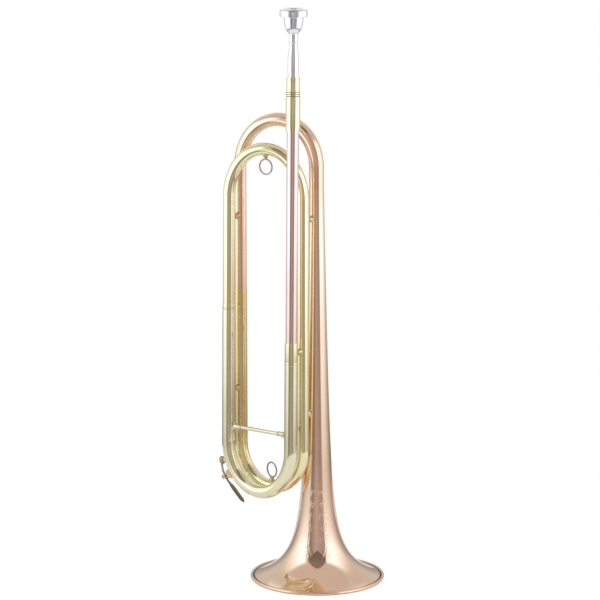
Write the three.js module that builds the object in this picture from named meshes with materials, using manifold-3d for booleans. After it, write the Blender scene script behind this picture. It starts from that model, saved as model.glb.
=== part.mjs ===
// Cavalry trumpet, standing on its bell with the mouthpiece up. Millimetres, +Z up.
// X runs along the two loops of tubing, from their closed side to the bell.
// Y runs from the loop that carries the mouthpiece to the loop that feeds the bell.
// Every piece is placed from the bell's axis, and the whole is centred at the end.

import * as THREE from 'three';
import Module from 'manifold-3d';
import { mergeVertices } from 'three/addons/utils/BufferGeometryUtils.js';

const wasm = await Module();
wasm.setup();

// Clearances
const seatGap = 0.3;            // solder space between two pieces that are cut to each other
const runGap = 0.3;             // between pieces that slide or turn on each other
const overcut = 3;              // how far a cutter runs past what it cuts

// Plan of the tubing
const loopWidth = 76.3;         // between the left and right legs of a loop
const loopPitch = 20;           // from the front loop to the rear loop
const bellBehind = 20.2;        // from the rear loop to the bell's axis
const bellBeside = 3.6;         // from the right legs to the bell's axis
const frontWiden = 0.3;         // how far each leg of the front loop stands outside the rear's
const frontLean = 0.009;        // shift towards the bell per millimetre of height, front loop
const frontLeanZero = 235;      // height at which the front loop's legs cross their places
const bellLean = -0.004;        // the same for the bell, which leans the other way from its rim up
const rearBowLean = 0.025;      // and for the rear loop's top bow, from its bend up

// Heights above the floor that the bell stands on
const frontBendHeight = 138;    // where the slide's bow leaves its legs
const frontBowDrop = 47.6;
const rearBendHeight = 134;
const rearBowDrop = 42;
const topFrontBendHeight = 387;
const topFrontBowRise = 49;
const topRearBendHeight = 416;
const topRearBowRise = 47;
const bellTopHeight = 397;
const rightJointHeight = 254.8; // where the rear right leg changes to the wider tube
const leftJointHeight = 290.6;

// Tubes
const tubeWall = 0.5;
const leftFrontRadius = 6.0;
const rightRearRadius = 6.15;
const lowerTubeRadius = 6.35;
const leftRearRadius = 6.1;
const bellTailRadius = 7.5;

// Tuning slide
const slideRadius = 6.55;
const rightSlideLength = 91.5;
const leftSlideLength = 135.7;
const innerSlideShort = 5;      // from the slide's bend to the end of the inner tubes
const slideBeadHeight = 4;
const slideBeadProud = 0.15;
const rightCollarHeight = 18.2;
const leftCollarHeight = 4.9;
const leftCollarRadius = 6.35;
const collarOverlap = 10;       // how far the inner slide tube reaches into the right collar

// Leadpipe and receiver
const leadpipeTopRadius = 6.0;
const leadpipeFootRadius = 5.75;
const receiverFoot = 457.7;
const receiverLength = 53.3;
const receiverRingsRise = 34.5;
const receiverRingsHeight = 4.4;
const receiverRingCount = 3;
const receiverRingRadius = 6.95;
const receiverLowerRadius = 7.1;
const receiverUpperRadius = 6.6;
const receiverLipRadius = 6.8;
const receiverLipHeight = 1.5;
const receiverTaperHeight = 5;
const receiverFootRadius = 6.7;
const receiverSocketDepth = 12; // how far the leadpipe reaches into the receiver
const receiverBore = 4.4;

// Mouthpiece
const rimRadius = 13.8;
const rimHeight = 8;            // from here the heights stack down to the receiver
const rimPeakRadius = 11.2;
const rimUnderRadius = 13.4;
const rimCrown = 2.6;
const cupOuterRadius = 9.6;
const cupBodyHeight = 6.5;
const cupTaperHeight = 10.1;
const neckHeight = 8.2;         // from the neck's ring to the cup
const waistHeight = 3.4;        // from the thinnest place to the neck's ring
const shankFlareHeight = 9.8;   // from the shank to the thinnest place
const shankHeight = 14;
const shankTaperHeight = 6;     // from the receiver to the shank's full width
const neckRadius = 4.35;
const neckRingRadius = 5.1;
const neckRingHeight = 2;
const waistRadius = 4.05;
const shankRadius = 5.55;
const shankFootRadius = 4.6;
const shankSeatRadius = 5.05;   // where the shank enters the receiver
const shankDepth = 24;          // how much of the shank is in the receiver
const cupRadius = 8.4;
const cupDepth = 13;
const throatRadius = 1.9;
const throatLength = 6;
const backboreRadius = 3.7;

// Bell
const bellRimRadius = 67.5;
const bellWall = 0.6;
const flareRise = 1;            // height at which the flare's curve starts
const flareReach = 66.74;       // radius that the flare's curve has at its start
const flareThroat = 7.06;
const flareLength = 36.3;
const flarePower = 1.948;
const bellCone = 0.0155;        // growth of the radius per millimetre along the tail
const beadRadius = 1.5;
const beadHeight = 1.6;         // height of the bead's centre
const beadLand = 1.5;           // width of the flat ring that the bell stands on
const flareStart = 2.1;         // height where the flare leaves the bead
const bellJointHeight = 120;    // where the spun flare is brazed to the stem

// Stays between the legs
const stayRadius = 2;
const stayFlangeRadius = 3.5;
const stayFlangeHeight = 1.3;
const stayNeckHeight = 1.5;
const upperLeftStayHeight = 365;
const upperRightStayHeight = 367;
const collarStayRise = 6.5;     // above the right slide tube's mouth
const lowerLeftStayHeight = 190;
const bellStayHeight = 171;
const bellPadRadius = 5;
const stayReach = 6;            // half the height that a stay's cutters must pass

// Long brace of the tuning slide
const braceRise = 15.5;         // above the slide's bend
const braceRadius = 1.85;
const braceFootHeight = 9;
const braceFootWidth = 8;
const braceFootThickness = 1;
const braceSocketRadius = 3.1;
const braceSocketNeck = 2.2;
const braceSocketLength = 7;
const braceRingRadius = 2.6;
const braceRingLength = 1.2;

// Lanyard rings
const lanyardRadius = 7.45;     // to the middle of the wire
const lanyardWire = 0.85;
const topLanyardDrop = 3.4;     // from the bow's tube to the ring
const bottomLanyardDrop = 2.4;
const lanyardFootRadius = 2.1;
const lanyardFootTopRadius = 2.9;

// Water key
const nippleTurn = 22.5;        // degrees round the slide's bow, from its left leg
const nippleRadius = 3;
const nippleBore = 1.6;
const nippleHeight = 2.8;
const corkRadius = 3.3;
const corkHeight = 2.6;
const cupWall = 0.5;
const pivotTurn = 39;           // degrees round the slide's bow, from its left leg
const pivotHeight = 6.6;        // above the tube's outside
const pivotRadius = 1;
const barrelRadius = 2.1;
const barrelLength = 6.4;
const earThickness = 1.1;
const earRadius = 2.3;
const saddleLength = 9;
const saddleBase = 1.6;
const screwHeadRadius = 2.3;
const screwHeadHeight = 1.6;
const armWidth = 2.4;
const armThickness = 1.5;
const armAside = -1.7;          // the arm runs beside the spring, so it isn't in the middle
const tabLength = 31.8;
const tabDrop = 4.9;
const tabWidth = 5;
const springWire = 0.3;
const springRadius = 2.95;
const springPitch = 1.3;
const springTurns = 2;
const springFootReach = 7.5;    // from the pivot to where the spring stands on the bow
const springHookReach = 6.5;    // from the pivot to where the spring crosses the arm
const springHookLength = 2;

// Facets
const tubeSides = 20;
const bowSteps = 16;
const bellSides = 44;
const flareSteps = 14;
const stemSteps = 6;
const turnedSides = 24;
const smallSides = 16;
const wireSides = 8;
const ringSteps = 28;
const coilSteps = 8;
const coilSides = 5;

// Shares of the pieces' own sizes
const beadArcShares = [-0.3, -0.12, 0.06, 0.24, 0.42, 0.6, 0.76];   // of a half turn
const flareSpacingPower = 1.7;  // crowds the bell's rings towards the rim
const rimRoundShares = [[1, 0.3], [1, 0.62], [0.975, 0.82], [0.91, 0.95]];   // of radius and height
const cupCurveShares = [[0.97, 0.25], [0.82, 0.58], [0.55, 0.86]];  // of radius and depth
const cupOutsideShares = [[0.93, 0.9], [0.78, 0.62], [0.5, 0.3]];   // of radius and height
const cupTopShare = 0.8;        // of the rim's underside that the cup's wall meets
const wingShare = 0.35;         // of the tab's length, where it starts to widen
const tabEndShare = 0.8;        // of the tab's width, at its tip

// Heights and radii that follow from those above
const rightSlideTop = frontBendHeight + rightSlideLength;
const leftSlideTop = frontBendHeight + leftSlideLength;
const innerSlideFoot = frontBendHeight + innerSlideShort;
const innerSlideRadius = slideRadius - tubeWall - runGap;
const rightCollarTop = rightSlideTop + rightCollarHeight;
const leftCollarTop = leftSlideTop + leftCollarHeight;
const leadpipeFoot = rightSlideTop + collarOverlap;
const collarStayHeight = rightSlideTop + collarStayRise;
const braceHeight = frontBendHeight + braceRise;
const receiverTop = receiverFoot + receiverLength;

const root = new THREE.Group();

// Finishes, one new material for each piece
const yellowBrass = () => new THREE.MeshStandardMaterial({ color: 0xcdb26a, roughness: 0.22, metalness: 1 });
const roseBrass = () => new THREE.MeshStandardMaterial({ color: 0xc98f6b, roughness: 0.22, metalness: 1 });
const silver = () => new THREE.MeshStandardMaterial({ color: 0xd9d9dc, roughness: 0.16, metalness: 1 });
const steel = () => new THREE.MeshStandardMaterial({ color: 0x8d8f92, roughness: 0.35, metalness: 1 });
const cork = () => new THREE.MeshStandardMaterial({ color: 0xb58a5a, roughness: 0.9, metalness: 0 });

function addPiece(name, geometry, material) {
  const mesh = new THREE.Mesh(geometry, material);
  mesh.name = name;
  root.add(mesh);
}

// The five legs, as places in the plan
const bellAxis = new THREE.Vector3(0, 0, 0);
const rightRear = new THREE.Vector3(-bellBeside, -bellBehind, 0);
const rightFront = new THREE.Vector3(-bellBeside + frontWiden, -bellBehind - loopPitch, 0);
const leftRear = new THREE.Vector3(-bellBeside - loopWidth, -bellBehind, 0);
const leftFront = new THREE.Vector3(-bellBeside - loopWidth - frontWiden, -bellBehind - loopPitch, 0);

function atHeight(place, height) {
  return new THREE.Vector3(place.x, place.y, height);
}

// The front loop and the bell lean a little: each level is shifted along X by its height
function leanMatrix(slope, zeroHeight) {
  return new THREE.Matrix4().set(1, 0, slope, -slope * zeroHeight, 0, 1, 0, 0, 0, 0, 1, 0, 0, 0, 0, 1);
}

const frontLeaning = leanMatrix(frontLean, frontLeanZero);
const bellLeaning = leanMatrix(bellLean, 0);
const rearBowLeaning = leanMatrix(rearBowLean, topRearBendHeight);
// Below its bend the slide's bow leans the other way by as much
const slideBowLeaning = leanMatrix(-frontLean, 2 * frontBendHeight - frontLeanZero);

// Where a leaning leg stands at a height, as a place in the plan
function leanedAt(place, height, leaning) {
  return atHeight(place, height).applyMatrix4(leaning).setZ(0);
}

function addLeaning(name, geometry, material, leaning = frontLeaning) {
  addPiece(name, geometry.applyMatrix4(leaning), material);
}

// A solid or ring turned about +Z from points [radius, height], anticlockwise in that plane
function turned(points, sides) {
  const profile = points.map(([radius, height]) => new THREE.Vector2(radius, height));
  return new THREE.LatheGeometry(profile, sides).rotateX(Math.PI / 2);
}

// A straight tube on a leg, which may taper from its foot to its top
function legTube(place, foot, top, footRadius, topRadius = footRadius, sides = tubeSides) {
  const profile = [
    [footRadius, foot], [topRadius, top],
    [topRadius - tubeWall, top], [footRadius - tubeWall, foot], [footRadius, foot],
  ];
  return turned(profile, sides).translate(place.x, place.y, 0);
}

// One closed skin over rings of points, each ring joined to the next: the last is joined to
// the first, or both ends are capped
function ringSkin(rings, capped = false) {
  const sides = rings[0].length;
  const positions = rings.flat().flatMap((point) => point.toArray());
  const index = [];
  const last = capped ? rings.length - 1 : rings.length;
  for (let ring = 0; ring < last; ring++) {
    for (let side = 0; side < sides; side++) {
      const here = ring * sides + side;
      const beside = ring * sides + (side + 1) % sides;
      const above = ((ring + 1) % rings.length) * sides + side;
      const aboveBeside = ((ring + 1) % rings.length) * sides + (side + 1) % sides;
      index.push(here, beside, aboveBeside, here, aboveBeside, above);
    }
  }
  if (capped) {
    const top = last * sides;
    for (let side = 1; side < sides - 1; side++) {
      index.push(0, side + 1, side, top, top + side, top + side + 1);
    }
  }
  const geometry = new THREE.BufferGeometry();
  geometry.setAttribute('position', new THREE.Float32BufferAttribute(positions, 3));
  geometry.setIndex(index);
  return geometry;
}

// A circle of points round a centre, in the plane of two unit vectors
function circle(centre, radius, across, up, sides) {
  return Array.from({ length: sides }, (_, side) => {
    const turn = (2 * Math.PI * side) / sides;
    return centre.clone()
      .addScaledVector(across, radius * Math.cos(turn))
      .addScaledVector(up, radius * Math.sin(turn));
  });
}

// A half ellipse between two legs: a place on its middle line and the direction of travel
function bowPlace(from, to, bendHeight, rise, turn) {
  const middle = from.clone().lerp(to, 0.5);
  const half = to.clone().sub(from).multiplyScalar(0.5);
  const place = middle.addScaledVector(half, -Math.cos(turn));
  return place.setZ(bendHeight + rise * Math.sin(turn));
}

function bowDirection(from, to, rise, turn) {
  const half = to.clone().sub(from).multiplyScalar(0.5);
  const direction = half.multiplyScalar(Math.sin(turn));
  return direction.setZ(rise * Math.cos(turn)).normalize();
}

// A bent tube between two legs, whose radius grows evenly from the first to the second
function bow(from, to, bendHeight, rise, fromRadius, toRadius) {
  const flat = to.clone().sub(from).normalize();
  const planeNormal = new THREE.Vector3(-flat.y, flat.x, 0);
  const outer = [];
  const inner = [];
  for (let step = 0; step <= bowSteps; step++) {
    const turn = (Math.PI * step) / bowSteps;
    const place = bowPlace(from, to, bendHeight, rise, turn);
    const direction = bowDirection(from, to, rise, turn);
    const across = direction.clone().cross(planeNormal);
    const radius = THREE.MathUtils.lerp(fromRadius, toRadius, step / bowSteps);
    outer.push(circle(place, radius, planeNormal, across, tubeSides));
    inner.push(circle(place, radius - tubeWall, planeNormal, across, tubeSides));
  }
  return ringSkin([...outer, ...inner.reverse()]);
}

function toSolid(geometry) {
  const bare = geometry.clone();
  bare.deleteAttribute('normal');
  bare.deleteAttribute('uv');
  const merged = mergeVertices(bare);
  return new wasm.Manifold(new wasm.Mesh({
    numProp: 3,
    vertProperties: new Float32Array(merged.attributes.position.array),
    triVerts: new Uint32Array(merged.index.array),
  }));
}

function toGeometry(solid) {
  const mesh = solid.getMesh();
  const geometry = new THREE.BufferGeometry();
  geometry.setAttribute('position', new THREE.Float32BufferAttribute(mesh.vertProperties, 3));
  geometry.setIndex(new THREE.Uint32BufferAttribute(mesh.triVerts, 1));
  return geometry;
}

// A round cutter on a leg, tall enough to pass a piece of the stated height
function legCutter(place, height, reach, radius) {
  const cutter = new THREE.CylinderGeometry(radius, radius, 2 * (reach + overcut), tubeSides * 2);
  return toSolid(cutter.rotateX(Math.PI / 2).translate(place.x, place.y, height));
}

// Turns a piece that was made along +Z so that it runs from one place to another
function aim(geometry, from, to) {
  const direction = to.clone().sub(from).normalize();
  const turn = new THREE.Quaternion().setFromUnitVectors(new THREE.Vector3(0, 0, 1), direction);
  return geometry.applyQuaternion(turn).translate(from.x, from.y, from.z);
}

// A stay between two legs is turned from a profile and cut to both tubes
function fitStay(name, profile, from, fromRadius, to, toRadius, height) {
  const blank = toSolid(aim(turned(profile, smallSides), atHeight(from, height), atHeight(to, height)));
  const cut = blank
    .subtract(legCutter(from, height, stayReach, fromRadius + seatGap))
    .subtract(legCutter(to, height, stayReach, toRadius + seatGap));
  addPiece(name, toGeometry(cut), yellowBrass());
}

// A short rod with a round flange at each end
function stay(name, from, fromRadius, to, toRadius, height) {
  const span = from.distanceTo(to);
  const firstFace = fromRadius + stayFlangeHeight;
  const lastFace = span - toRadius - stayFlangeHeight;
  fitStay(name, [
    [0, fromRadius / 2], [stayFlangeRadius, fromRadius / 2], [stayFlangeRadius, firstFace],
    [stayRadius, firstFace + stayNeckHeight], [stayRadius, lastFace - stayNeckHeight],
    [stayFlangeRadius, lastFace], [stayFlangeRadius, span - toRadius / 2], [0, span - toRadius / 2],
  ], from, fromRadius, to, toRadius, height);
}

// Where the bell nearly meets the rear loop, the stay is only a flared pad
function bellPad(name, from, fromRadius, to, toRadius, height) {
  const span = from.distanceTo(to);
  fitStay(name, [
    [0, fromRadius / 2], [stayFlangeRadius, fromRadius / 2], [stayFlangeRadius, fromRadius],
    [bellPadRadius, span - toRadius], [bellPadRadius, span - toRadius / 2], [0, span - toRadius / 2],
  ], from, fromRadius, to, toRadius, height);
}

// Outside radius of the bell at a height
function bellRadiusAt(height) {
  const cone = bellCone * (bellTopHeight - height);
  const flare = flareReach - flareThroat - bellCone * bellTopHeight;
  return flareThroat + cone + flare * (1 + (height - flareRise) / flareLength) ** -flarePower;
}

function bellSlopeAt(height) {
  const flare = flareReach - flareThroat - bellCone * bellTopHeight;
  const fall = (1 + (height - flareRise) / flareLength) ** (-flarePower - 1);
  return -bellCone - (flare * flarePower * fall) / flareLength;
}

// Rings of the bell's wall between two heights, up the outside and back down the inside
function bellWalls(foot, top, steps, spacing) {
  const outside = [];
  const inside = [];
  for (let step = 0; step <= steps; step++) {
    const height = THREE.MathUtils.lerp(foot, top, (step / steps) ** spacing);
    const wall = bellWall * Math.hypot(1, bellSlopeAt(height));
    outside.push([bellRadiusAt(height), height]);
    inside.unshift([bellRadiusAt(height) - wall, height]);
  }
  return [...outside, ...inside];
}

function bell() {
  const beadMiddle = bellRimRadius - beadRadius;
  const bead = beadArcShares.map((share) => [
    beadMiddle + beadRadius * Math.cos(Math.PI * share),
    beadHeight + beadRadius * Math.sin(Math.PI * share),
  ]);
  const landOuter = [beadMiddle + beadLand / 2, 0];
  const landInner = [beadMiddle - beadLand / 2, 0];
  const walls = bellWalls(flareStart, bellJointHeight, flareSteps, flareSpacingPower);
  const profile = [landOuter, ...bead, ...walls, landInner, landOuter];
  addLeaning('bell', turned(profile, bellSides), roseBrass(), bellLeaning);
}

function bellStem() {
  const walls = bellWalls(bellJointHeight, bellTopHeight, stemSteps, 1);
  addLeaning('bell_stem', turned([...walls, walls[0]], bellSides), roseBrass(), bellLeaning);
}

// Straight lengths of tube on the four legs of the two loops
function legs() {
  addLeaning('left_front_leg',
    legTube(leftFront, leftCollarTop, topFrontBendHeight, leftFrontRadius), yellowBrass());
  addPiece('right_rear_upper_leg', legTube(rightRear, rightJointHeight,
    topFrontBendHeight, rightRearRadius), yellowBrass());
  addPiece('right_rear_lower_leg', legTube(rightRear, rearBendHeight,
    rightJointHeight, lowerTubeRadius), yellowBrass());
  addPiece('left_rear_lower_leg', legTube(leftRear, rearBendHeight,
    leftJointHeight, lowerTubeRadius), yellowBrass());
  addPiece('left_rear_upper_leg', legTube(leftRear, leftJointHeight,
    topRearBendHeight, leftRearRadius), roseBrass());
  addLeaning('bell_tail_leg', legTube(bellAxis, bellTopHeight,
    topRearBendHeight, bellTailRadius), roseBrass(), bellLeaning);
}

function fixedBows() {
  const frontTop = leanedAt(leftFront, topFrontBendHeight, frontLeaning);
  const bellTop = leanedAt(bellAxis, topRearBendHeight, bellLeaning);
  addPiece('top_front_bow', bow(frontTop, rightRear, topFrontBendHeight, topFrontBowRise,
    leftFrontRadius, rightRearRadius), yellowBrass());
  addPiece('bottom_rear_bow', bow(leftRear, rightRear, rearBendHeight, -rearBowDrop,
    lowerTubeRadius, lowerTubeRadius), yellowBrass());
  addLeaning('top_rear_bow', bow(leftRear, bellTop, topRearBendHeight, topRearBowRise,
    leftRearRadius, bellTailRadius), roseBrass(), rearBowLeaning);
}


// The collar that joins the leadpipe to the right inner slide tube, and the fixed inner tubes
function slideRoots() {
  const rightInner = innerSlideRadius + seatGap;
  addLeaning('leadpipe_collar', turned([
    [slideRadius, rightSlideTop], [slideRadius, rightCollarTop],
    [rightInner, rightCollarTop], [rightInner, rightSlideTop], [slideRadius, rightSlideTop],
  ], turnedSides).translate(rightFront.x, rightFront.y, 0), yellowBrass());
  const leftBore = innerSlideRadius - tubeWall;
  addLeaning('left_slide_collar', turned([
    [leftCollarRadius, leftSlideTop], [leftCollarRadius, leftCollarTop],
    [leftBore, leftCollarTop], [leftBore, leftSlideTop], [leftCollarRadius, leftSlideTop],
  ], turnedSides).translate(leftFront.x, leftFront.y, 0), yellowBrass());
  addLeaning('right_inner_slide_tube',
    legTube(rightFront, innerSlideFoot, leadpipeFoot, innerSlideRadius), silver());
  addLeaning('left_inner_slide_tube',
    legTube(leftFront, innerSlideFoot, leftSlideTop, innerSlideRadius), silver());
}

function leadpipe() {
  const top = receiverFoot + receiverSocketDepth;
  addLeaning('leadpipe', legTube(rightFront, leadpipeFoot, top,
    leadpipeFootRadius, leadpipeTopRadius), roseBrass());
}

// Thin turned ridges between the receiver's two halves
function receiverRings() {
  const pitch = receiverRingsHeight / receiverRingCount;
  const low = receiverUpperRadius;
  const high = receiverRingRadius;
  const points = [];
  for (let ring = 0; ring < receiverRingCount; ring++) {
    const foot = receiverFoot + receiverRingsRise + ring * pitch;
    points.push([low, foot + pitch / 4], [high, foot + pitch / 2]);
    points.push([high, foot + pitch * 3 / 4], [low, foot + pitch]);
  }
  return points;
}

function receiver() {
  const socketTop = receiverFoot + receiverSocketDepth + seatGap;
  const shankFoot = receiverTop - shankDepth - seatGap;
  const socket = leadpipeTopRadius + seatGap;
  addLeaning('receiver', turned([
    [receiverFootRadius, receiverFoot],
    [receiverLowerRadius, receiverFoot + receiverTaperHeight],
    [receiverLowerRadius, receiverFoot + receiverRingsRise],
    ...receiverRings(),
    [receiverUpperRadius, receiverTop - receiverLipHeight],
    [receiverLipRadius, receiverTop],
    [shankSeatRadius + runGap, receiverTop],
    [shankFootRadius + runGap, shankFoot],
    [receiverBore, shankFoot],
    [receiverBore, socketTop],
    [socket, socketTop],
    [socket, receiverFoot],
    [receiverFootRadius, receiverFoot],
  ], turnedSides).translate(rightFront.x, rightFront.y, 0), yellowBrass());
}

function mouthpiece() {
  const shankFoot = receiverTop - shankDepth;
  const shankShoulder = receiverTop + shankTaperHeight;
  const shankTop = shankShoulder + shankHeight;
  const waist = shankTop + shankFlareHeight;
  const neckRing = waist + waistHeight;
  const cupFoot = neckRing + neckHeight;
  const cupBody = cupFoot + cupTaperHeight;
  const rimFoot = cupBody + cupBodyHeight;
  const top = rimFoot + rimHeight;
  const throatTop = top - cupDepth;
  const cupOutside = cupOutsideShares.map(([radius, height]) => [
    THREE.MathUtils.lerp(neckRadius, cupOuterRadius, radius),
    THREE.MathUtils.lerp(cupFoot, cupBody, height),
  ]);
  const rimRound = rimRoundShares.map(([radius, height]) => [
    rimRadius * radius, rimFoot + rimHeight * height,
  ]);
  const cupCurve = cupCurveShares.map(([radius, depth]) => [
    cupRadius * radius, top - cupDepth * depth,
  ]);
  addLeaning('mouthpiece', turned([
    [shankFootRadius, shankFoot],
    [shankSeatRadius, receiverTop],
    [shankRadius, shankShoulder],
    [shankRadius, shankTop],
    [waistRadius, waist],
    [neckRadius, neckRing - neckRingHeight / 2],
    [neckRingRadius, neckRing],
    [neckRadius, neckRing + neckRingHeight / 2],
    [neckRadius, cupFoot],
    ...cupOutside.reverse(),
    [cupOuterRadius, cupBody],
    [cupOuterRadius, rimFoot - rimCrown / 2],
    [rimUnderRadius * cupTopShare, rimFoot],
    [rimUnderRadius, rimFoot],
    ...rimRound,
    [rimPeakRadius, top],
    [cupRadius, top - rimCrown / 2],
    ...cupCurve,
    [throatRadius, throatTop],
    [throatRadius, throatTop - throatLength],
    [backboreRadius, shankFoot],
    [shankFootRadius, shankFoot],
  ], turnedSides).translate(rightFront.x, rightFront.y, 0), silver());
}

function stays() {
  const frontAt = (place, height) => leanedAt(place, height, frontLeaning);
  const bellAt = (height) => leanedAt(bellAxis, height, bellLeaning);
  const bellRadius = bellRadiusAt(bellStayHeight - bellPadRadius);
  stay('upper_left_stay', frontAt(leftFront, upperLeftStayHeight), leftFrontRadius,
    leftRear, leftRearRadius, upperLeftStayHeight);
  stay('upper_right_stay', rightRear, rightRearRadius, bellAt(upperRightStayHeight),
    bellRadiusAt(upperRightStayHeight - stayFlangeRadius), upperRightStayHeight);
  stay('collar_stay', frontAt(rightFront, collarStayHeight), slideRadius,
    rightRear, lowerTubeRadius, collarStayHeight);
  stay('lower_left_stay', frontAt(leftFront, lowerLeftStayHeight), slideRadius,
    leftRear, lowerTubeRadius, lowerLeftStayHeight);
  bellPad('bell_stay', rightRear, lowerTubeRadius, bellAt(bellStayHeight), bellRadius, bellStayHeight);
}

// The two outer tubes of the tuning slide, the bead at the right one's mouth, and its bow
function tuningSlide() {
  const rightTop = rightSlideTop - runGap;
  const beadFoot = rightTop - slideBeadHeight;
  const proud = slideRadius + slideBeadProud;
  addLeaning('right_slide_tube', turned([
    [slideRadius, frontBendHeight], [slideRadius, beadFoot], [proud, beadFoot + slideBeadProud],
    [proud, rightTop - slideBeadProud], [slideRadius, rightTop], [slideRadius - tubeWall, rightTop],
    [slideRadius - tubeWall, frontBendHeight], [slideRadius, frontBendHeight],
  ], turnedSides).translate(rightFront.x, rightFront.y, 0), yellowBrass());
  addLeaning('left_slide_tube', legTube(leftFront, frontBendHeight, leftSlideTop - runGap,
    slideRadius, slideRadius, turnedSides), yellowBrass());
  const bend = toSolid(bow(leftFront, rightFront, frontBendHeight, -frontBowDrop, slideRadius, slideRadius));
  const hole = new THREE.CylinderGeometry(nippleBore, nippleBore, slideRadius, smallSides);
  const drill = toSolid(outwards(hole.rotateX(Math.PI / 2), nippleTurn, slideRadius));
  addLeaning('slide_bow', toGeometry(bend.subtract(drill)), yellowBrass(), slideBowLeaning);
}

// A piece that was made along +Z is stood on the slide's bow, pointing away from its middle
function bowOutward(turn) {
  const direction = bowDirection(leftFront, rightFront, -frontBowDrop, turn);
  return new THREE.Vector3(direction.z, 0, -direction.x);
}

function bowFrame(degrees, height) {
  const turn = THREE.MathUtils.degToRad(degrees);
  const outward = bowOutward(turn);
  const place = bowPlace(leftFront, rightFront, frontBendHeight, -frontBowDrop, turn);
  const frame = new THREE.Matrix4().makeRotationY(Math.atan2(outward.x, outward.z));
  return frame.setPosition(place.addScaledVector(outward, height));
}

function outwards(geometry, degrees, height) {
  return geometry.applyMatrix4(bowFrame(degrees, height));
}

// One foot of the long brace: an oval plate and a socket, made along +Z and cut to the tube
function braceFoot(name, place, towards) {
  const start = atHeight(place, braceHeight);
  const plateTop = slideRadius + braceFootThickness;
  const plate = turned([
    [0, 0], [braceFootHeight / 2, 0], [braceFootHeight / 2, slideRadius / 2],
    [braceSocketRadius, plateTop], [0, plateTop],
  ], turnedSides).scale(1, braceFootWidth / braceFootHeight, 1);
  const neckTop = plateTop + braceSocketLength;
  const socketTop = neckTop + braceRingLength;
  const socket = turned([
    [0, 0], [braceSocketRadius, 0], [braceSocketRadius, plateTop], [braceSocketNeck, neckTop],
    [braceRingRadius, neckTop], [braceRingRadius, socketTop], [0, socketTop],
  ], turnedSides);
  const foot = toSolid(aim(plate, start, atHeight(towards, braceHeight)))
    .add(toSolid(aim(socket, start, atHeight(towards, braceHeight))))
    .subtract(legCutter(place, braceHeight, braceFootHeight, slideRadius + seatGap));
  addLeaning(name, toGeometry(foot), yellowBrass());
}

function slideBrace() {
  braceFoot('slide_brace_left_foot', leftFront, rightFront);
  braceFoot('slide_brace_right_foot', rightFront, leftFront);
  const reach = slideRadius + braceFootThickness + braceSocketLength + braceRingLength;
  const start = atHeight(leftFront, braceHeight);
  const span = leftFront.distanceTo(rightFront);
  const rod = turned([
    [0, reach], [braceRadius, reach], [braceRadius, span - reach], [0, span - reach],
  ], smallSides);
  addLeaning('slide_brace_rod', aim(rod, start, atHeight(rightFront, braceHeight)), yellowBrass());
}

// A lanyard ring on its foot, on the inner side of a bow. The ring lies along the loops.
function lanyard(name, from, to, bendHeight, rise, tubeRadius, drop) {
  const inward = -Math.sign(rise);
  const top = bowPlace(from, to, bendHeight, rise, Math.PI / 2);
  const along = to.clone().sub(from).normalize();
  const upward = new THREE.Vector3(0, 0, 1);
  const centreHeight = top.z + inward * (tubeRadius + drop + lanyardWire + lanyardRadius);
  const centre = atHeight(top, centreHeight);
  const ringAlong = new THREE.Vector3(1, 0, 0);
  const planeNormal = ringAlong.clone().cross(upward);
  const ringOf = (wire) => ringSkin(circle(centre, lanyardRadius, ringAlong, upward, ringSteps).map((place) => {
    const outward = place.clone().sub(centre).normalize();
    return circle(place, wire, planeNormal, outward, wireSides);
  }));
  addPiece(`${name}_ring`, ringOf(lanyardWire), yellowBrass());
  const footEnd = tubeRadius + drop + lanyardWire;
  const foot = turned([
    [0, tubeRadius / 2], [lanyardFootTopRadius, tubeRadius / 2],
    [lanyardFootTopRadius, tubeRadius + seatGap], [lanyardFootRadius, footEnd], [0, footEnd],
  ], smallSides);
  const aimed = toSolid(aim(foot, top, centre));
  const tube = new THREE.CylinderGeometry(tubeRadius + seatGap, tubeRadius + seatGap,
    2 * (lanyardFootTopRadius + overcut), tubeSides * 2);
  const cutTube = toSolid(aim(tube.rotateX(Math.PI / 2), top, top.clone().add(along)));
  const cutRing = toSolid(ringOf(lanyardWire + seatGap));
  addPiece(`${name}_foot`, toGeometry(aimed.subtract(cutTube).subtract(cutRing)), yellowBrass());
}

// A bar along Y, round, for the water key's pivot; made at the pivot and centred on it
function crossBar(radius, length, middle = 0) {
  return new THREE.CylinderGeometry(radius, radius, length, smallSides).translate(0, middle, 0);
}

// A flat outline in the water key's X and Z, as thick as stated along Y round its middle
function keyPlate(points, width, middle = 0) {
  const outline = new THREE.Shape(points.map(([x, z]) => new THREE.Vector2(x, z)));
  const plate = new THREE.ExtrudeGeometry(outline, { depth: width, bevelEnabled: false });
  return toSolid(plate.translate(0, 0, -width / 2).rotateX(Math.PI / 2).translate(0, middle, 0));
}

const pivotReach = slideRadius + pivotHeight;
const pivotFrame = bowFrame(pivotTurn, pivotReach);
const corkFoot = slideRadius + nippleHeight + runGap;

// Where a place over the nipple lies, seen from the pivot
function overNipple(height) {
  const place = new THREE.Vector3().setFromMatrixPosition(bowFrame(nippleTurn, height));
  return place.applyMatrix4(pivotFrame.clone().invert());
}

function addKeyPiece(name, geometry, material) {
  addLeaning(name, geometry.applyMatrix4(pivotFrame), material, slideBowLeaning);
}

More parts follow.
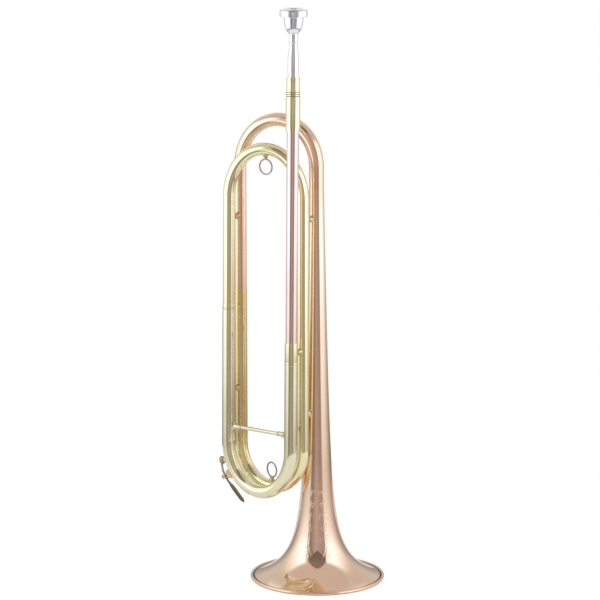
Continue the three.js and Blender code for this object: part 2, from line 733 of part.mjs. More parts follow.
function waterKeySeat() {
  const foot = turned([
    [nippleRadius, slideRadius / 2], [nippleRadius, slideRadius + nippleHeight],
    [nippleBore, slideRadius + nippleHeight], [nippleBore, slideRadius / 2], [nippleRadius, slideRadius / 2],
  ], smallSides);
  const cutter = new THREE.CylinderGeometry(slideRadius + seatGap, slideRadius + seatGap,
    2 * (nippleRadius + overcut), tubeSides * 2).rotateZ(Math.PI / 2);
  const nipple = toSolid(foot).subtract(toSolid(cutter));
  addLeaning('water_key_nipple', outwards(toGeometry(nipple), nippleTurn, 0), yellowBrass(), slideBowLeaning);

  const earInside = barrelLength / 2 + runGap;
  const saddleWidth = 2 * (earInside + earThickness);
  const baseTop = saddleBase - pivotHeight;
  const base = keyPlate([
    [-saddleLength / 2, -pivotReach], [saddleLength / 2, -pivotReach],
    [saddleLength / 2, baseTop], [-saddleLength / 2, baseTop],
  ], saddleWidth);
  const upright = keyPlate([[-earRadius, -pivotReach], [earRadius, -pivotReach], [earRadius, 0], [-earRadius, 0]], saddleWidth);
  const eye = toSolid(crossBar(earRadius, saddleWidth));
  const between = keyPlate([
    [-saddleLength, baseTop], [saddleLength, baseTop],
    [saddleLength, pivotHeight], [-saddleLength, pivotHeight],
  ], 2 * earInside);
  const tube = new THREE.CylinderGeometry(slideRadius + seatGap, slideRadius + seatGap,
    2 * saddleLength, tubeSides * 2).rotateZ(Math.PI / 2).translate(0, 0, -pivotReach);
  const saddle = base.add(upright).add(eye).subtract(between).subtract(toSolid(tube))
    .subtract(toSolid(crossBar(pivotRadius + seatGap, 2 * saddleWidth)));
  addKeyPiece('water_key_saddle', toGeometry(saddle), yellowBrass());

  const headMiddle = -saddleWidth / 2 - seatGap - screwHeadHeight / 2;
  const shank = toSolid(crossBar(pivotRadius, saddleWidth + seatGap + screwHeadHeight,
    -(seatGap + screwHeadHeight) / 2));
  const head = toSolid(crossBar(screwHeadRadius, screwHeadHeight, headMiddle));
  addKeyPiece('water_key_screw', toGeometry(shank.add(head)), yellowBrass());
}

function waterKeyLever() {
  const corkBack = corkFoot + corkHeight;
  const cupTop = corkBack + seatGap + cupWall;
  const cupRim = corkBack - corkHeight / 2;
  const cupInner = corkRadius + seatGap;
  const cup = turned([
    [0, corkBack + seatGap], [cupInner, corkBack + seatGap], [cupInner, cupRim],
    [cupInner + cupWall, cupRim], [cupInner + cupWall, cupTop], [0, cupTop],
  ], smallSides);
  const toKey = pivotFrame.clone().invert().multiply(bowFrame(nippleTurn, 0));
  const crown = overNipple(cupTop);
  const arm = keyPlate([
    [0, barrelRadius - armThickness], [crown.x, crown.z - armThickness / 2],
    [crown.x + armWidth, crown.z], [crown.x, crown.z + armThickness / 2], [0, barrelRadius],
  ], armWidth, armAside);
  const bend = -tabLength * wingShare;
  const neck = keyPlate([
    [0, barrelRadius - armThickness], [0, barrelRadius], [bend, barrelRadius],
    [bend, barrelRadius - armThickness],
  ], armWidth, armAside);
  const tab = keyPlate([
    [bend, barrelRadius], [-tabLength, armThickness - tabDrop],
    [-tabLength, -tabDrop], [bend, barrelRadius - armThickness],
  ], tabWidth);
  const barrel = toSolid(crossBar(barrelRadius, barrelLength));
  const hollow = turned([
    [0, corkFoot - overcut], [cupInner, corkFoot - overcut],
    [cupInner, corkBack + seatGap], [0, corkBack + seatGap],
  ], smallSides);
  const lever = toSolid(cup.applyMatrix4(toKey)).add(arm).add(neck).add(tab).add(barrel)
    .subtract(toSolid(hollow.applyMatrix4(toKey)))
    .subtract(toSolid(crossBar(pivotRadius + runGap, 2 * barrelLength)));
  addKeyPiece('water_key_lever', toGeometry(lever), yellowBrass());

  const pad = turned([
    [0, corkFoot], [corkRadius, corkFoot], [corkRadius, corkBack], [0, corkBack],
  ], smallSides);
  addKeyPiece('water_key_cork', pad.applyMatrix4(toKey), cork());
}

// Places along the spring's wire: the hook over the arm, the curls, and the leg on the bow
function springPath() {
  const curlStart = armAside + armWidth / 2 + seatGap + springWire;
  const curlEnd = curlStart + springPitch * springTurns;
  const hook = new THREE.Vector3(springHookReach, curlStart, barrelRadius + seatGap + springWire);
  const footClear = slideRadius + seatGap + springWire;
  const footDrop = springFootReach ** 2 / (2 * frontBowDrop);
  const footHeight = Math.sqrt(footClear ** 2 - curlEnd ** 2) - pivotReach - footDrop;
  const foot = new THREE.Vector3(-springFootReach, curlEnd, footHeight);
  const hookTurn = Math.atan2(hook.z, hook.x) + Math.acos(springRadius / Math.hypot(hook.x, hook.z));
  const footTurn = Math.atan2(foot.z, foot.x) + 2 * Math.PI
    - Math.acos(springRadius / Math.hypot(foot.x, foot.z));
  const sweep = footTurn - hookTurn - 2 * Math.PI * (springTurns + 1);
  const steps = Math.ceil((Math.abs(sweep) * coilSteps) / (2 * Math.PI));
  const curls = Array.from({ length: steps + 1 }, (_, step) => {
    const turn = hookTurn + (sweep * step) / steps;
    const side = THREE.MathUtils.lerp(curlStart, curlEnd, step / steps);
    return new THREE.Vector3(springRadius * Math.cos(turn), side, springRadius * Math.sin(turn));
  });
  const hookEnd = hook.clone();
  hookEnd.y -= springHookLength;
  return [hookEnd, hook, ...curls, foot];
}

// Rings of points round each place of a path, square to it
function wireRings(path, radius, sides) {
  let across = new THREE.Vector3(1, 0, 0);
  return path.map((place, step) => {
    const before = path[Math.max(step - 1, 0)];
    const after = path[Math.min(step + 1, path.length - 1)];
    const along = after.clone().sub(before).normalize();
    across = across.clone().projectOnPlane(along).normalize();
    return circle(place, radius, across, along.clone().cross(across), sides);
  });
}

// Least distance between rings that lie half a curl or more apart along the wire
function leastGap(rings) {
  let least = Infinity;
  for (let ring = 0; ring < rings.length; ring++) {
    for (const other of rings.slice(ring + coilSteps / 2)) {
      for (const point of rings[ring]) {
        least = Math.min(least, ...other.map((place) => place.distanceTo(point)));
      }
    }
  }
  return least;
}

function waterKeySpring() {
  const rings = wireRings(springPath(), springWire, coilSides);
  console.log(`water_key_spring least gap ${leastGap(rings).toFixed(2)} mm`);
  addKeyPiece('water_key_spring', ringSkin(rings, true), steel());
}

const trumpet = new THREE.Group();
trumpet.add(root);

mouthpiece();
receiver();
leadpipe();
slideRoots();
legs();
fixedBows();
bell();
bellStem();
stays();
lanyard('top_lanyard', leanedAt(leftFront, topFrontBendHeight, frontLeaning), rightRear,
  topFrontBendHeight, topFrontBowRise, rightRearRadius, topLanyardDrop);
lanyard('bottom_lanyard', leftRear, rightRear,
  rearBendHeight, -rearBowDrop, lowerTubeRadius, bottomLanyardDrop);
tuningSlide();
slideBrace();
waterKeySeat();
waterKeySpring();
waterKeyLever();

// The origin is under the middle of the whole, on the floor
const extent = new THREE.Box3().setFromObject(root, true);
root.position.x = -(extent.min.x + extent.max.x) / 2;
root.position.y = -(extent.min.y + extent.max.y) / 2;

export default trumpet;
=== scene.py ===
import math

import bmesh
import bpy
from mathutils import Matrix, Vector
from mathutils.kdtree import KDTree


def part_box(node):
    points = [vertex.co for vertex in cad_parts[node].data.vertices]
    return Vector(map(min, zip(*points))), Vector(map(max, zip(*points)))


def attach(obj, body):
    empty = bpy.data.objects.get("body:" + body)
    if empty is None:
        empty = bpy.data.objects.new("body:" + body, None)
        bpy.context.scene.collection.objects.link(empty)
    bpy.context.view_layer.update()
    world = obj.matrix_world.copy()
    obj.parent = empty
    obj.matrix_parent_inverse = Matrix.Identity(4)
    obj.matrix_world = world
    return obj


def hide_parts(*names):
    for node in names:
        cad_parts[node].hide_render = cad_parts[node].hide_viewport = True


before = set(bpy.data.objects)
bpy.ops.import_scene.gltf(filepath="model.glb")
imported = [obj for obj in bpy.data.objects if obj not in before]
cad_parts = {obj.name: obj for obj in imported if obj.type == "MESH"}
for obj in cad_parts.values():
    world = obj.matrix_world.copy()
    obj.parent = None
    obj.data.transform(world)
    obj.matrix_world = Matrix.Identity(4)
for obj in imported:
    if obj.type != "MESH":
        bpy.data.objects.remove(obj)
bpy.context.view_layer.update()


# The camera stands in front of the mouthpiece's side, a little above the loops, with a long
# lens. Its place is given from the bell's axis, at the height of the floor.
bell_low, bell_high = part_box("bell")
bell_axis = Vector(((bell_low.x + bell_high.x) / 2, (bell_low.y + bell_high.y) / 2, 0))
view_azimuth = math.radians(35.5)
view_pitch = math.radians(11.34)
camera_place = Vector((1.6408, -2.3304, 0.8561))
camera_data = bpy.data.cameras.new("photo_camera")
camera_data.sensor_fit = "HORIZONTAL"
camera_data.sensor_width = 36
camera_data.lens = 175.95
camera_data.clip_end = 20
camera = bpy.data.objects.new("photo_camera", camera_data)
camera.location = bell_axis + camera_place
camera.rotation_euler = (math.pi / 2 - view_pitch, 0, view_azimuth)
bpy.context.scene.collection.objects.link(camera)
bpy.context.scene.camera = camera
bpy.context.scene.view_settings.view_transform = "Standard"


# The object stands on a round white table inside a curved white screen that is open towards the
# camera. Light through the screen is strongest on both sides of the camera and weak behind.
class Value:
    """A number, colour or direction that changes from place to place in one node tree."""

    def __init__(self, tree, socket=None):
        self.tree = tree
        self.socket = socket

    def node(self, kind, settings=None, sockets=None, output=0):
        made = self.tree.nodes.new(kind)
        for name, setting in (settings or {}).items():
            setattr(made, name, setting)
        for name, value in (sockets or {}).items():
            if isinstance(value, Value):
                self.tree.links.new(value.socket, made.inputs[name])
            else:
                made.inputs[name].default_value = value
        return Value(self.tree, made.outputs[output])

    def maths(self, operation, *values):
        return self.node("ShaderNodeMath", {"operation": operation}, dict(enumerate(values)))

    def __add__(self, other):
        return self.maths("ADD", self, other)

    def __radd__(self, other):
        return self.maths("ADD", other, self)

    def __sub__(self, other):
        return self.maths("SUBTRACT", self, other)

    def __rsub__(self, other):
        return self.maths("SUBTRACT", other, self)

    def __mul__(self, other):
        return self.maths("MULTIPLY", self, other)

    def __rmul__(self, other):
        return self.maths("MULTIPLY", other, self)

    def __neg__(self):
        return self.maths("MULTIPLY", self, -1)

    def __abs__(self):
        return self.maths("ABSOLUTE", self)


def rise(value, low, high):
    """0 below low, 1 above high, and a smooth rise from one to the other."""
    smooth = {"interpolation_type": "SMOOTHSTEP"}
    return value.node("ShaderNodeMapRange", smooth, {0: value, 1: low, 2: high})


def mixed(share, first, second):
    """A colour that is first where the share is 0 and second where it is 1."""
    colours = {0: share, 6: first, 7: second}
    return share.node("ShaderNodeMix", {"data_type": "RGBA"}, colours, output=2)


def to_the_right(place):
    """Degrees to the right of the camera's side at which a place lies, and its height."""
    x, y, height = (
        place.node("ShaderNodeSeparateXYZ", None, {0: place}, output=axis) for axis in range(3))
    forward = x * math.sin(view_azimuth) - y * math.cos(view_azimuth)
    rightward = x * math.cos(view_azimuth) + y * math.sin(view_azimuth)
    return place.maths("ARCTAN2", rightward, forward) * math.degrees(1), height


black = (0, 0, 0, 1)
white = (1, 1, 1, 1)
left_window = (42, 50, 66, 140)       # degrees where it begins, is full, fades and ends
right_window = (34, 44, 62, 136)
window_light = 0.62
wall_light = 0.38
screen_top_light = 0.72


def through_window(angle, window):
    begins, full, fades, ends = window
    return rise(angle, begins, full) * (1 - rise(angle, fades, ends))


def lit_screen(cloth):
    """Light of the screen's inside, by degrees round from the camera's side and by height."""
    right, height = to_the_right(cloth.node("ShaderNodeTexCoord", output=3))
    windows = through_window(-right, left_window) + through_window(right, right_window)
    far_window = rise(abs(right), 145, 160) * rise(height, 0.5, 0.6)
    wall = wall_light + rise(height, 0.12, 0.3) * 0.03 + far_window * 0.3
    climb = cloth.node(
        "ShaderNodeMapRange", None,
        {"Value": height, "From Min": -0.05, "From Max": 0.24, "To Min": 0.66, "To Max": 1.66})
    top = rise(height, 0.7, 0.9)
    return (wall + windows * window_light) * climb * (1 - top) + top * screen_top_light


def room_light(room):
    """Light of the room that polished metal sees through the screen's opening and above it."""
    right, sine = to_the_right(room.node("ShaderNodeTexCoord"))
    height = room.maths("ARCSINE", sine) * math.degrees(1)
    open_room = 0.37 + (1 - rise(abs(right + 3), 6, 16)) * 0.1 + rise(height, -9, -6) * 0.08
    curtain = rise(-right, 19, 27) * 0.12
    roof = height - abs(right) * 0.36
    arch = height + right * right * 0.0125
    sky = rise(arch, 66.5, 67.5)
    shade = rise(roof, 29, 31) * (1 - sky)
    edge = (1 - rise(roof, 32, 34)) * 0.08 + rise(arch, 62, 64) * 0.08
    depth = 0.2 + rise(height, 40, 58) * 0.08 - edge
    far_sky = rise(abs(right), 120, 150) * (1 - rise(height, 47, 53))
    lit_room = (open_room - curtain) * (1 - shade) * (1 - sky)
    light = lit_room + shade * depth + sky * (0.68 + far_sky * 0.6)
    tint = mixed(sky, (1, 0.88, 0.86, 1), (1, 0.96, 0.95, 1))
    return mixed(light, black, tint)


studio_grey = (0.9, 0.9, 0.9, 1)
world = bpy.data.worlds.new("studio")
world.use_nodes = True
bpy.context.scene.world = world
room = Value(world.node_tree)
seen = room.node("ShaderNodeLightPath", output=0)
reflected = room.node("ShaderNodeLightPath", output=3)
around = mixed(reflected, studio_grey, room_light(room))
backdrop = mixed(seen, around, white)
background = world.node_tree.nodes["Background"]
background.inputs["Strength"].default_value = 1
world.node_tree.links.new(backdrop.socket, background.inputs["Color"])


def stage_piece(name, form):
    mesh = bpy.data.meshes.new(name)
    form.to_mesh(mesh)
    form.free()
    piece = bpy.data.objects.new(name, mesh)
    bpy.context.scene.collection.objects.link(piece)
    cloth = bpy.data.materials.new(f"{name}_white")
    cloth.use_nodes = True
    mesh.materials.append(cloth)
    return piece, Value(cloth.node_tree), cloth.node_tree.nodes["Principled BSDF"].inputs


def shown_to_camera(cloth, share, shader):
    """Mixes in a shader for what the camera sees and leaves the lit cloth to everything else."""
    camera_ray = cloth.node("ShaderNodeLightPath", output=0)
    lit = Value(cloth.tree, cloth.tree.nodes["Principled BSDF"].outputs[0])
    surface = cloth.node("ShaderNodeMixShader", None, {0: camera_ray * share, 1: lit, 2: shader})
    cloth.tree.links.new(surface.socket, cloth.tree.nodes["Material Output"].inputs["Surface"])


table_radius = 0.5
table_drop = 0.0002
table_brightness = 1.2
glow_share = 0.6
table_form = bmesh.new()
bmesh.ops.create_circle(table_form, cap_ends=True, segments=96, radius=table_radius)
table, table_cloth, table_sockets = stage_piece("table", table_form)
table.location = (0, 0, -table_drop)
table_sockets["Base Color"].default_value = studio_grey
table_sockets["Roughness"].default_value = 0.8
glow = {"Color": white, "Strength": table_brightness}
table_glow = table_cloth.node("ShaderNodeEmission", None, glow)
shown_to_camera(table_cloth, glow_share, table_glow)

screen_radius = 0.7
screen_foot = -0.05
screen_top = 0.95
screen_edge = math.radians(36)
screen_steps = 96
brightest_light = 2
screen_form = bmesh.new()
screen_rows = []
for level in (screen_foot, screen_top):
    row = []
    for step in range(screen_steps + 1):
        round_share = step / screen_steps
        turn = view_azimuth - math.pi / 2 + screen_edge + 2 * (math.pi - screen_edge) * round_share
        place = (screen_radius * math.cos(turn), screen_radius * math.sin(turn), level)
        row.append(screen_form.verts.new(place))
    screen_rows.append(row)
foot_row, top_row = screen_rows
for here, there in zip(range(screen_steps), range(1, screen_steps + 1)):
    screen_form.faces.new((foot_row[here], foot_row[there], top_row[there], top_row[here]))
_, screen_cloth, screen_sockets = stage_piece("screen", screen_form)
screen_sockets["Base Color"].default_value = black
screen_sockets["Specular IOR Level"].default_value = 0
screen_sockets["Emission Strength"].default_value = brightest_light
screen_light = lit_screen(screen_cloth)
window_white = mixed(rise(screen_light, 0.8, 1.5), white, (0.92, 0.96, 1.1, 1))
shine = mixed(screen_light * (1 / brightest_light), black, window_white)
screen_cloth.tree.links.new(shine.socket, screen_sockets["Emission Color"])
shown_to_camera(screen_cloth, 1, screen_cloth.node("ShaderNodeBsdfTransparent"))


# The tubes of the loops are drawn yellow brass, bent, polished along their length and
# lacquered. Each straight leg and each bow is a tube of its own, soft-soldered end to end.
# By hand and eye the front loop has been set a little out of plumb, and the bell the other way.
plumb = (0, 0)                  # shift towards the bell for each unit of height, and its start
front_lean = (0.009, 0.235)
bell_lean = (-0.004, 0)
upright = Vector((0, 0, 1))
tube_thickness = 0.0005


def lacquered(name, light, deep, wear=1.0, overlay_colour=None, overlay_share=None):
    """Polished metal under clear lacquer: fine drawing lines, cloudy tarnish and rubbed specks.
    An overlay colour covers a share of the surface that overlay_share works out from a place.
    It carries painted shade in the bell's seam and on the key, and darker brown in the receiver's
    grooves."""
    material = bpy.data.materials.new(name)
    material.use_nodes = True
    metal = Value(material.node_tree)
    place = metal.node("ShaderNodeTexCoord", output=3)
    stretched = metal.node("ShaderNodeMapping", None, {"Vector": place, "Scale": (1, 1, 0.04)})

    def noise(where, scale, detail):
        sockets = {"Vector": where, "Scale": scale, "Detail": detail}
        return metal.node("ShaderNodeTexNoise", None, sockets)

    lines, clouds, specks = noise(stretched, 1400, 2), noise(place, 22, 5), noise(place, 420, 3)
    shader = material.node_tree.nodes["Principled BSDF"]
    shader.inputs["Metallic"].default_value = 1
    shader.inputs["Coat Weight"].default_value = 0.3
    shader.inputs["Coat Roughness"].default_value = 0.04
    colour = mixed(rise(clouds, 0.35, 0.75), (*light, 1), (*deep, 1))
    rubbed = rise(specks, 0.6, 0.75)
    roughness = 0.06 + clouds * 0.05 * wear + lines * 0.03 * wear + rubbed * 0.05 * wear
    if overlay_colour:
        share = overlay_share(place, clouds)
        colour = mixed(share, colour, (*overlay_colour, 1))
        roughness = roughness + share * 0.25
    relief = {"Strength": 0.05 * wear, "Distance": 0.0001, "Height": lines + specks * 0.5}
    surface = metal.node("ShaderNodeBump", None, relief)
    for socket, value in (("Base Color", colour), ("Roughness", roughness), ("Normal", surface)):
        material.node_tree.links.new(value.socket, shader.inputs[socket])
    return material


def leaned(point, lean):
    """Where a point of an upright piece comes to stand when the piece leans."""
    slope, start = lean
    return point + Vector((slope * (point.z - start), 0, 0))


def middle_of(node):
    low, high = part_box(node)
    return (low + high) / 2


class Leg:
    """An upright tube of the frame: the place of its axis, its heights, radius and lean."""

    def __init__(self, node, lean=plumb):
        low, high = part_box(node)
        middle = middle_of(node)
        self.node = node
        self.lean = lean
        self.foot = low.z
        self.top = high.z
        self.radius = (high.y - low.y) / 2
        self.axis = Vector((2 * middle.x - leaned(middle, lean).x, middle.y, 0))

    def at(self, height):
        return leaned(self.axis + upright * height, self.lean)


def oval_points(centre, across, up, sides):
    """Points round a closed oval whose half axes are two vectors."""
    turns = [2 * math.pi * side / sides for side in range(sides)]
    return [centre + across * math.cos(turn) + up * math.sin(turn) for turn in turns]


def piece_of(name, form, finish, sharp=30):
    """Turns finished mesh work into a piece, smooth but for edges sharper than an angle."""
    mesh = bpy.data.meshes.new(name)
    form.to_mesh(mesh)
    form.free()
    mesh.shade_smooth()
    mesh.set_sharp_from_angle(angle=math.radians(sharp))
    mesh.materials.append(finish)
    piece = bpy.data.objects.new(name, mesh)
    bpy.context.scene.collection.objects.link(piece)
    return piece


def skinned(name, rings, finish, capped=False, sharp=30):
    """A piece with a skin over rings of points. It closes on its first ring, or is capped."""
    form = bmesh.new()
    verts = [[form.verts.new(point) for point in ring] for ring in rings]
    sides = len(rings[0])
    for here in range(len(rings) - 1 if capped else len(rings)):
        near, far = verts[here], verts[(here + 1) % len(rings)]
        for side in range(sides):
            beside = (side + 1) % sides
            form.faces.new((near[side], near[beside], far[beside], far[side]))
    if capped:
        form.faces.new(reversed(verts[0]))
        form.faces.new(verts[-1])
    bmesh.ops.remove_doubles(form, verts=form.verts, dist=1e-7)
    bmesh.ops.recalc_face_normals(form, faces=form.faces)
    return piece_of(name, form, finish, sharp)


east = Vector((1, 0, 0))
north = Vector((0, 1, 0))


def turned_rings(profile, axis=Vector(), sides=48):
    """Rings turned round a vertical axis from points (radius, height)."""
    return [
        oval_points(axis + upright * height, east * radius, north * radius, sides)
        for radius, height in profile]


def turned(name, axis, profile, finish, sides=72):
    return skinned(name, turned_rings(profile, axis, sides), finish)


def fit(piece, body, slot, *nodes, lean=plumb):
    """Leans a finished piece as it stands and puts it on its body, in the place of its nodes."""
    for vert in piece.data.vertices:
        vert.co = leaned(vert.co, lean)
    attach(piece, body)
    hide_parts(*nodes)


def straight_tube(leg, finish, slot, top_radius=None):
    top_radius = top_radius or leg.radius
    wall = [
        (leg.radius, leg.foot), (top_radius, leg.top),
        (top_radius - tube_thickness, leg.top), (leg.radius - tube_thickness, leg.foot),
    ]
    piece = turned(f"{leg.node}_tube", leg.axis, wall, finish)
    fit(piece, "horn", slot, leg.node, lean=leg.lean)


class Bow:
    """A bent tube whose middle line is half an ellipse between two places in the plan."""

    def __init__(self, start, end, radii, bend, reach):
        self.start = Vector((start.x, start.y, bend))
        self.end = Vector((end.x, end.y, bend))
        self.radii = radii
        self.reach = reach

    def place(self, turn):
        """Place on the middle line and the direction of travel there."""
        half = (self.end - self.start) / 2
        place = self.start + half * (1 - math.cos(turn)) + upright * (self.reach * math.sin(turn))
        direction = half * math.sin(turn) + upright * (self.reach * math.cos(turn))
        return place, direction.normalized()

    def rings(self, steps=72, sides=48):
        flat = (self.end - self.start).normalized()
        normal = Vector((-flat.y, flat.x, 0))
        outer, inner = [], []
        for step in range(steps + 1):
            place, direction = self.place(math.pi * step / steps)
            radius = self.radii[0] + (self.radii[1] - self.radii[0]) * step / steps
            across = direction.cross(normal)
            bore = radius - tube_thickness
            outer.append(oval_points(place, normal * radius, across * radius, sides))
            inner.append(oval_points(place, normal * bore, across * bore, sides))
        return outer + inner[::-1]


def bow_between(node, first, last):
    low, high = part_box(node)
    reach = high.z - low.z - (first.radius + last.radius) / 2
    over = high.z > first.top
    bend = low.z if over else high.z
    radii = first.radius, last.radius
    return Bow(first.at(bend), last.at(bend), radii, bend, reach if over else -reach)


def bent_tube(node, bow, finish, body, slot, lean=plumb):
    fit(skinned(f"{node}_tube", bow.rings(), finish), body, slot, node, lean=lean)


yellow_light = (0.90, 0.83, 0.53)
yellow_deep = (0.87, 0.78, 0.45)
yellow_brass = lacquered("yellow_brass", yellow_light, yellow_deep, wear=0.5)
left_front = Leg("left_front_leg", front_lean)
right_rear_upper = Leg("right_rear_upper_leg")
right_rear_lower = Leg("right_rear_lower_leg")
for leg in (left_front, right_rear_upper, right_rear_lower):
    straight_tube(leg, yellow_brass, "yellow_brass")
# Painted reflection: the left rear lower leg is coloured a deeper orange brass for the yellow front
# tubes it reflects.
rear_reflection_light = (0.88, 0.73, 0.42)
rear_reflection_deep = (0.84, 0.66, 0.34)
rear_reflection_brass = lacquered("yellow_brass_painted_reflection", rear_reflection_light, rear_reflection_deep, wear=0.5)
left_rear_lower = Leg("left_rear_lower_leg")
straight_tube(left_rear_lower, rear_reflection_brass, "yellow_brass")
front_top_bow = bow_between("top_front_bow", left_front, right_rear_upper)
rear_foot_bow = bow_between("bottom_rear_bow", left_rear_lower, right_rear_lower)
bent_tube("top_front_bow", front_top_bow, yellow_brass, "horn", "yellow_brass")
bent_tube("bottom_rear_bow", rear_foot_bow, yellow_brass, "horn", "yellow_brass")


# The leadpipe and the last third of the tubing, up to the bell, are rose brass, which holds
# more copper. The rear top bow is drawn on a taper and widens all the way to the bell.
leadpipe_light = (0.90, 0.68, 0.62)
leadpipe_deep = (0.86, 0.60, 0.53)
leadpipe_brass = lacquered("leadpipe_brass", leadpipe_light, leadpipe_deep)
leadpipe_foot_radius = 0.00575
leadpipe_top_radius = 0.006
leadpipe = Leg("leadpipe", front_lean)
leadpipe.axis = Leg("right_inner_slide_tube", front_lean).axis
leadpipe.radius = leadpipe_foot_radius
straight_tube(leadpipe, leadpipe_brass, "rose_brass", leadpipe_top_radius)
rose_light = (0.90, 0.67, 0.50)
rose_deep = (0.86, 0.59, 0.41)
rose_brass = lacquered("rose_brass", rose_light, rose_deep, wear=0.5)
left_rear_upper = Leg("left_rear_upper_leg")
bell_tail = Leg("bell_tail_leg", bell_lean)
straight_tube(left_rear_upper, rose_brass, "rose_brass")
straight_tube(bell_tail, rose_brass, "rose_brass")
rear_top_bow = bow_between("top_rear_bow", left_rear_upper, bell_tail)
rear_bow_lean = (0.025, bell_tail.top)
bent_tube("top_rear_bow", rear_top_bow, rose_brass, "horn", "rose_brass", lean=rear_bow_lean)


# The bell is spun from rose brass sheet over a mandrel, brazed to its long stem and burnished
# to one surface. Its edge is rolled outward over a wire, which leaves a bead and a fine seam.
sheet_thickness = 0.0006
flare_reach = 0.06674
flare_throat = 0.00706
flare_length = 0.0363
flare_power = 1.948
cone_growth = 0.0155
flare_rise = 0.001
flare_edge = 0.0021
bell_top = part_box("bell_stem")[1].z


def bell_radius(height):
    """Outside radius of the bell at a height, and how fast it grows towards the floor."""
    spread = flare_reach - flare_throat - cone_growth * bell_top
    reach = 1 + (height - flare_rise) / flare_length
    radius = flare_throat + cone_growth * (bell_top - height) + spread * reach ** -flare_power
    growth = cone_growth + spread * flare_power / flare_length * reach ** (-flare_power - 1)
    return radius, growth


def bell_inside(height):
    radius, growth = bell_radius(height)
    return radius - sheet_thickness * math.hypot(1, growth), height


def levels_between(foot, top, rows, crowding=1):
    """Heights from a foot up to just under a top, crowded towards the foot."""
    return [foot + (top - foot) * (row / rows) ** crowding for row in range(rows)]


rim_radius = (bell_high.y - bell_low.y) / 2
bead_radius = 0.0015
bead_height = 0.0016
bead_land = 0.00075
bead_start = -72
bead_step = 12
bead_middle = rim_radius - bead_radius
bead_turns = [math.radians(bead_start + bead_step * step) for step in range(20)]
land = [(bead_middle - bead_land, 0), (bead_middle + bead_land, 0)]
bead = [
    (bead_middle + bead_radius * math.cos(turn), bead_height + bead_radius * math.sin(turn))
    for turn in bead_turns]
seam_depth = 0.0007
seam_reach = bell_radius(flare_edge)[0] + 0.0003
engraved_foot = 0.026
engraved_top = 0.104
flare_levels = levels_between(flare_edge, engraved_foot, 70, crowding=1.6)
engraved_levels = levels_between(engraved_foot, engraved_top, 200)
stem_levels = levels_between(engraved_top, bell_high.z, 10)
stem_levels += levels_between(bell_high.z, bell_top, 30) + [bell_top]
outside = [
    (bell_radius(height)[0], height) for height in flare_levels + engraved_levels + stem_levels]
inside = [
    bell_inside(height) for height in reversed(flare_levels + engraved_levels[::8] + stem_levels)]


# The flare's front is engraved by hand with a scroll of leaves up each side of a bare strip.
# The cuts are shallow. Stems and leaves taper at both ends, and curls thin out as they wind in.
cut_width = 0.00042
cut_depth = 0.00014
strip_half = 0.0030
scroll_half = 0.02
scroll_foot = 0.033
scroll_rows = 6
row_pitch = 0.0115
curl_size = 0.0031
curl_start = 1.9
curl_sweep = 4.6
first_leaf = 0.35
leaf_step = 0.62
leaf_lean = 0.22


def stroke(start, end, bulge, width=1.0, steps=26):
    """Places along a cut (aside, up, share of the full width) that bows to one side."""
    middle = (start + end) / 2 + Vector((start.y - end.y, end.x - start.x)) * bulge
    places = []
    for step in range(steps + 1):
        share = step / steps
        place = start * (1 - share) ** 2 + middle * 2 * share * (1 - share) + end * share ** 2
        taper = math.sin(math.pi * (0.08 + 0.84 * share)) ** 0.6
        places.append((place.x, place.y, width * taper))
    return places


def on_curl(centre, reach, turn):
    return centre + Vector((math.cos(turn), math.sin(turn))) * reach


def curl(centre, radius, start, sweep, steps=60):
    """Places along a cut that winds in on itself round a centre."""
    places = []
    for step in range(steps + 1):
        share = step / steps
        place = on_curl(centre, radius * (1 - 0.82 * share), start + sweep * share)
        places.append((place.x, place.y, 1 - 0.55 * share))
    return places


def scroll_side(side):
    """The cuts of one side of the scroll, as seen flat: a waving stem, curls and leaves."""
    cuts = []
    for row in range(scroll_rows):
        share = row / (scroll_rows - 1)
        level = scroll_foot + row_pitch * row
        size = curl_size * (1 - 0.42 * share)
        inner = strip_half * (1 - 0.35 * share)
        way = side * (1 if row % 2 else -1)
        centre = Vector((side * (inner + size * 1.35), level))
        cuts.append(curl(centre, size, math.pi / 2 - way * curl_start, way * curl_sweep))
        stem_foot = Vector((side * (inner + size * 0.35), level - size * 2.0))
        stem_top = Vector((side * (inner + size * (0.5 if row % 2 else 2.1)), level + size * 1.7))
        cuts.append(stroke(stem_foot, stem_top, 0.22 * way, width=1.15))
        for leaf in range(4):
            turn = math.pi / 2 - side * (first_leaf + leaf_step * leaf)
            root = on_curl(centre, size * 1.05, turn)
            tip = on_curl(centre, size * 1.95, turn - side * leaf_lean)
            cuts.append(stroke(root, tip, 0.2 * side))
            cuts.append(stroke(root, tip, -0.16 * side, width=0.7))
    return cuts


cut_places = [place for side in (-1, 1) for cut in scroll_side(side) for place in cut]
cut_tree = KDTree(len(cut_places))
for index, (aside, up, _) in enumerate(cut_places):
    cut_tree.insert((aside, up, 0), index)
cut_tree.balance()


def cut_at(aside, up):
    """Depth of the engraving at a place of the flare, seen flat."""
    if abs(aside) > scroll_half or not engraved_foot < up < engraved_top:
        return 0
    _, index, distance = cut_tree.find((aside, up, 0))
    width_share = cut_places[index][2]
    half = cut_width * width_share
    return 0 if distance > half else cut_depth * width_share * (1 - (distance / half) ** 2)


bell_front = math.atan2(-math.cos(view_azimuth), math.sin(view_azimuth))
front_half = math.radians(34)
front_sides = 110
back_sides = 160


def sheet_angles():
    """Angles round the bell: fine steps across its engraved front, wider ones elsewhere."""
    start, end = bell_front - front_half, bell_front + front_half
    back = 2 * (math.pi - front_half)
    fine = [start + 2 * front_half * step / front_sides for step in range(front_sides)]
    return fine + [end + back * step / back_sides for step in range(back_sides)]


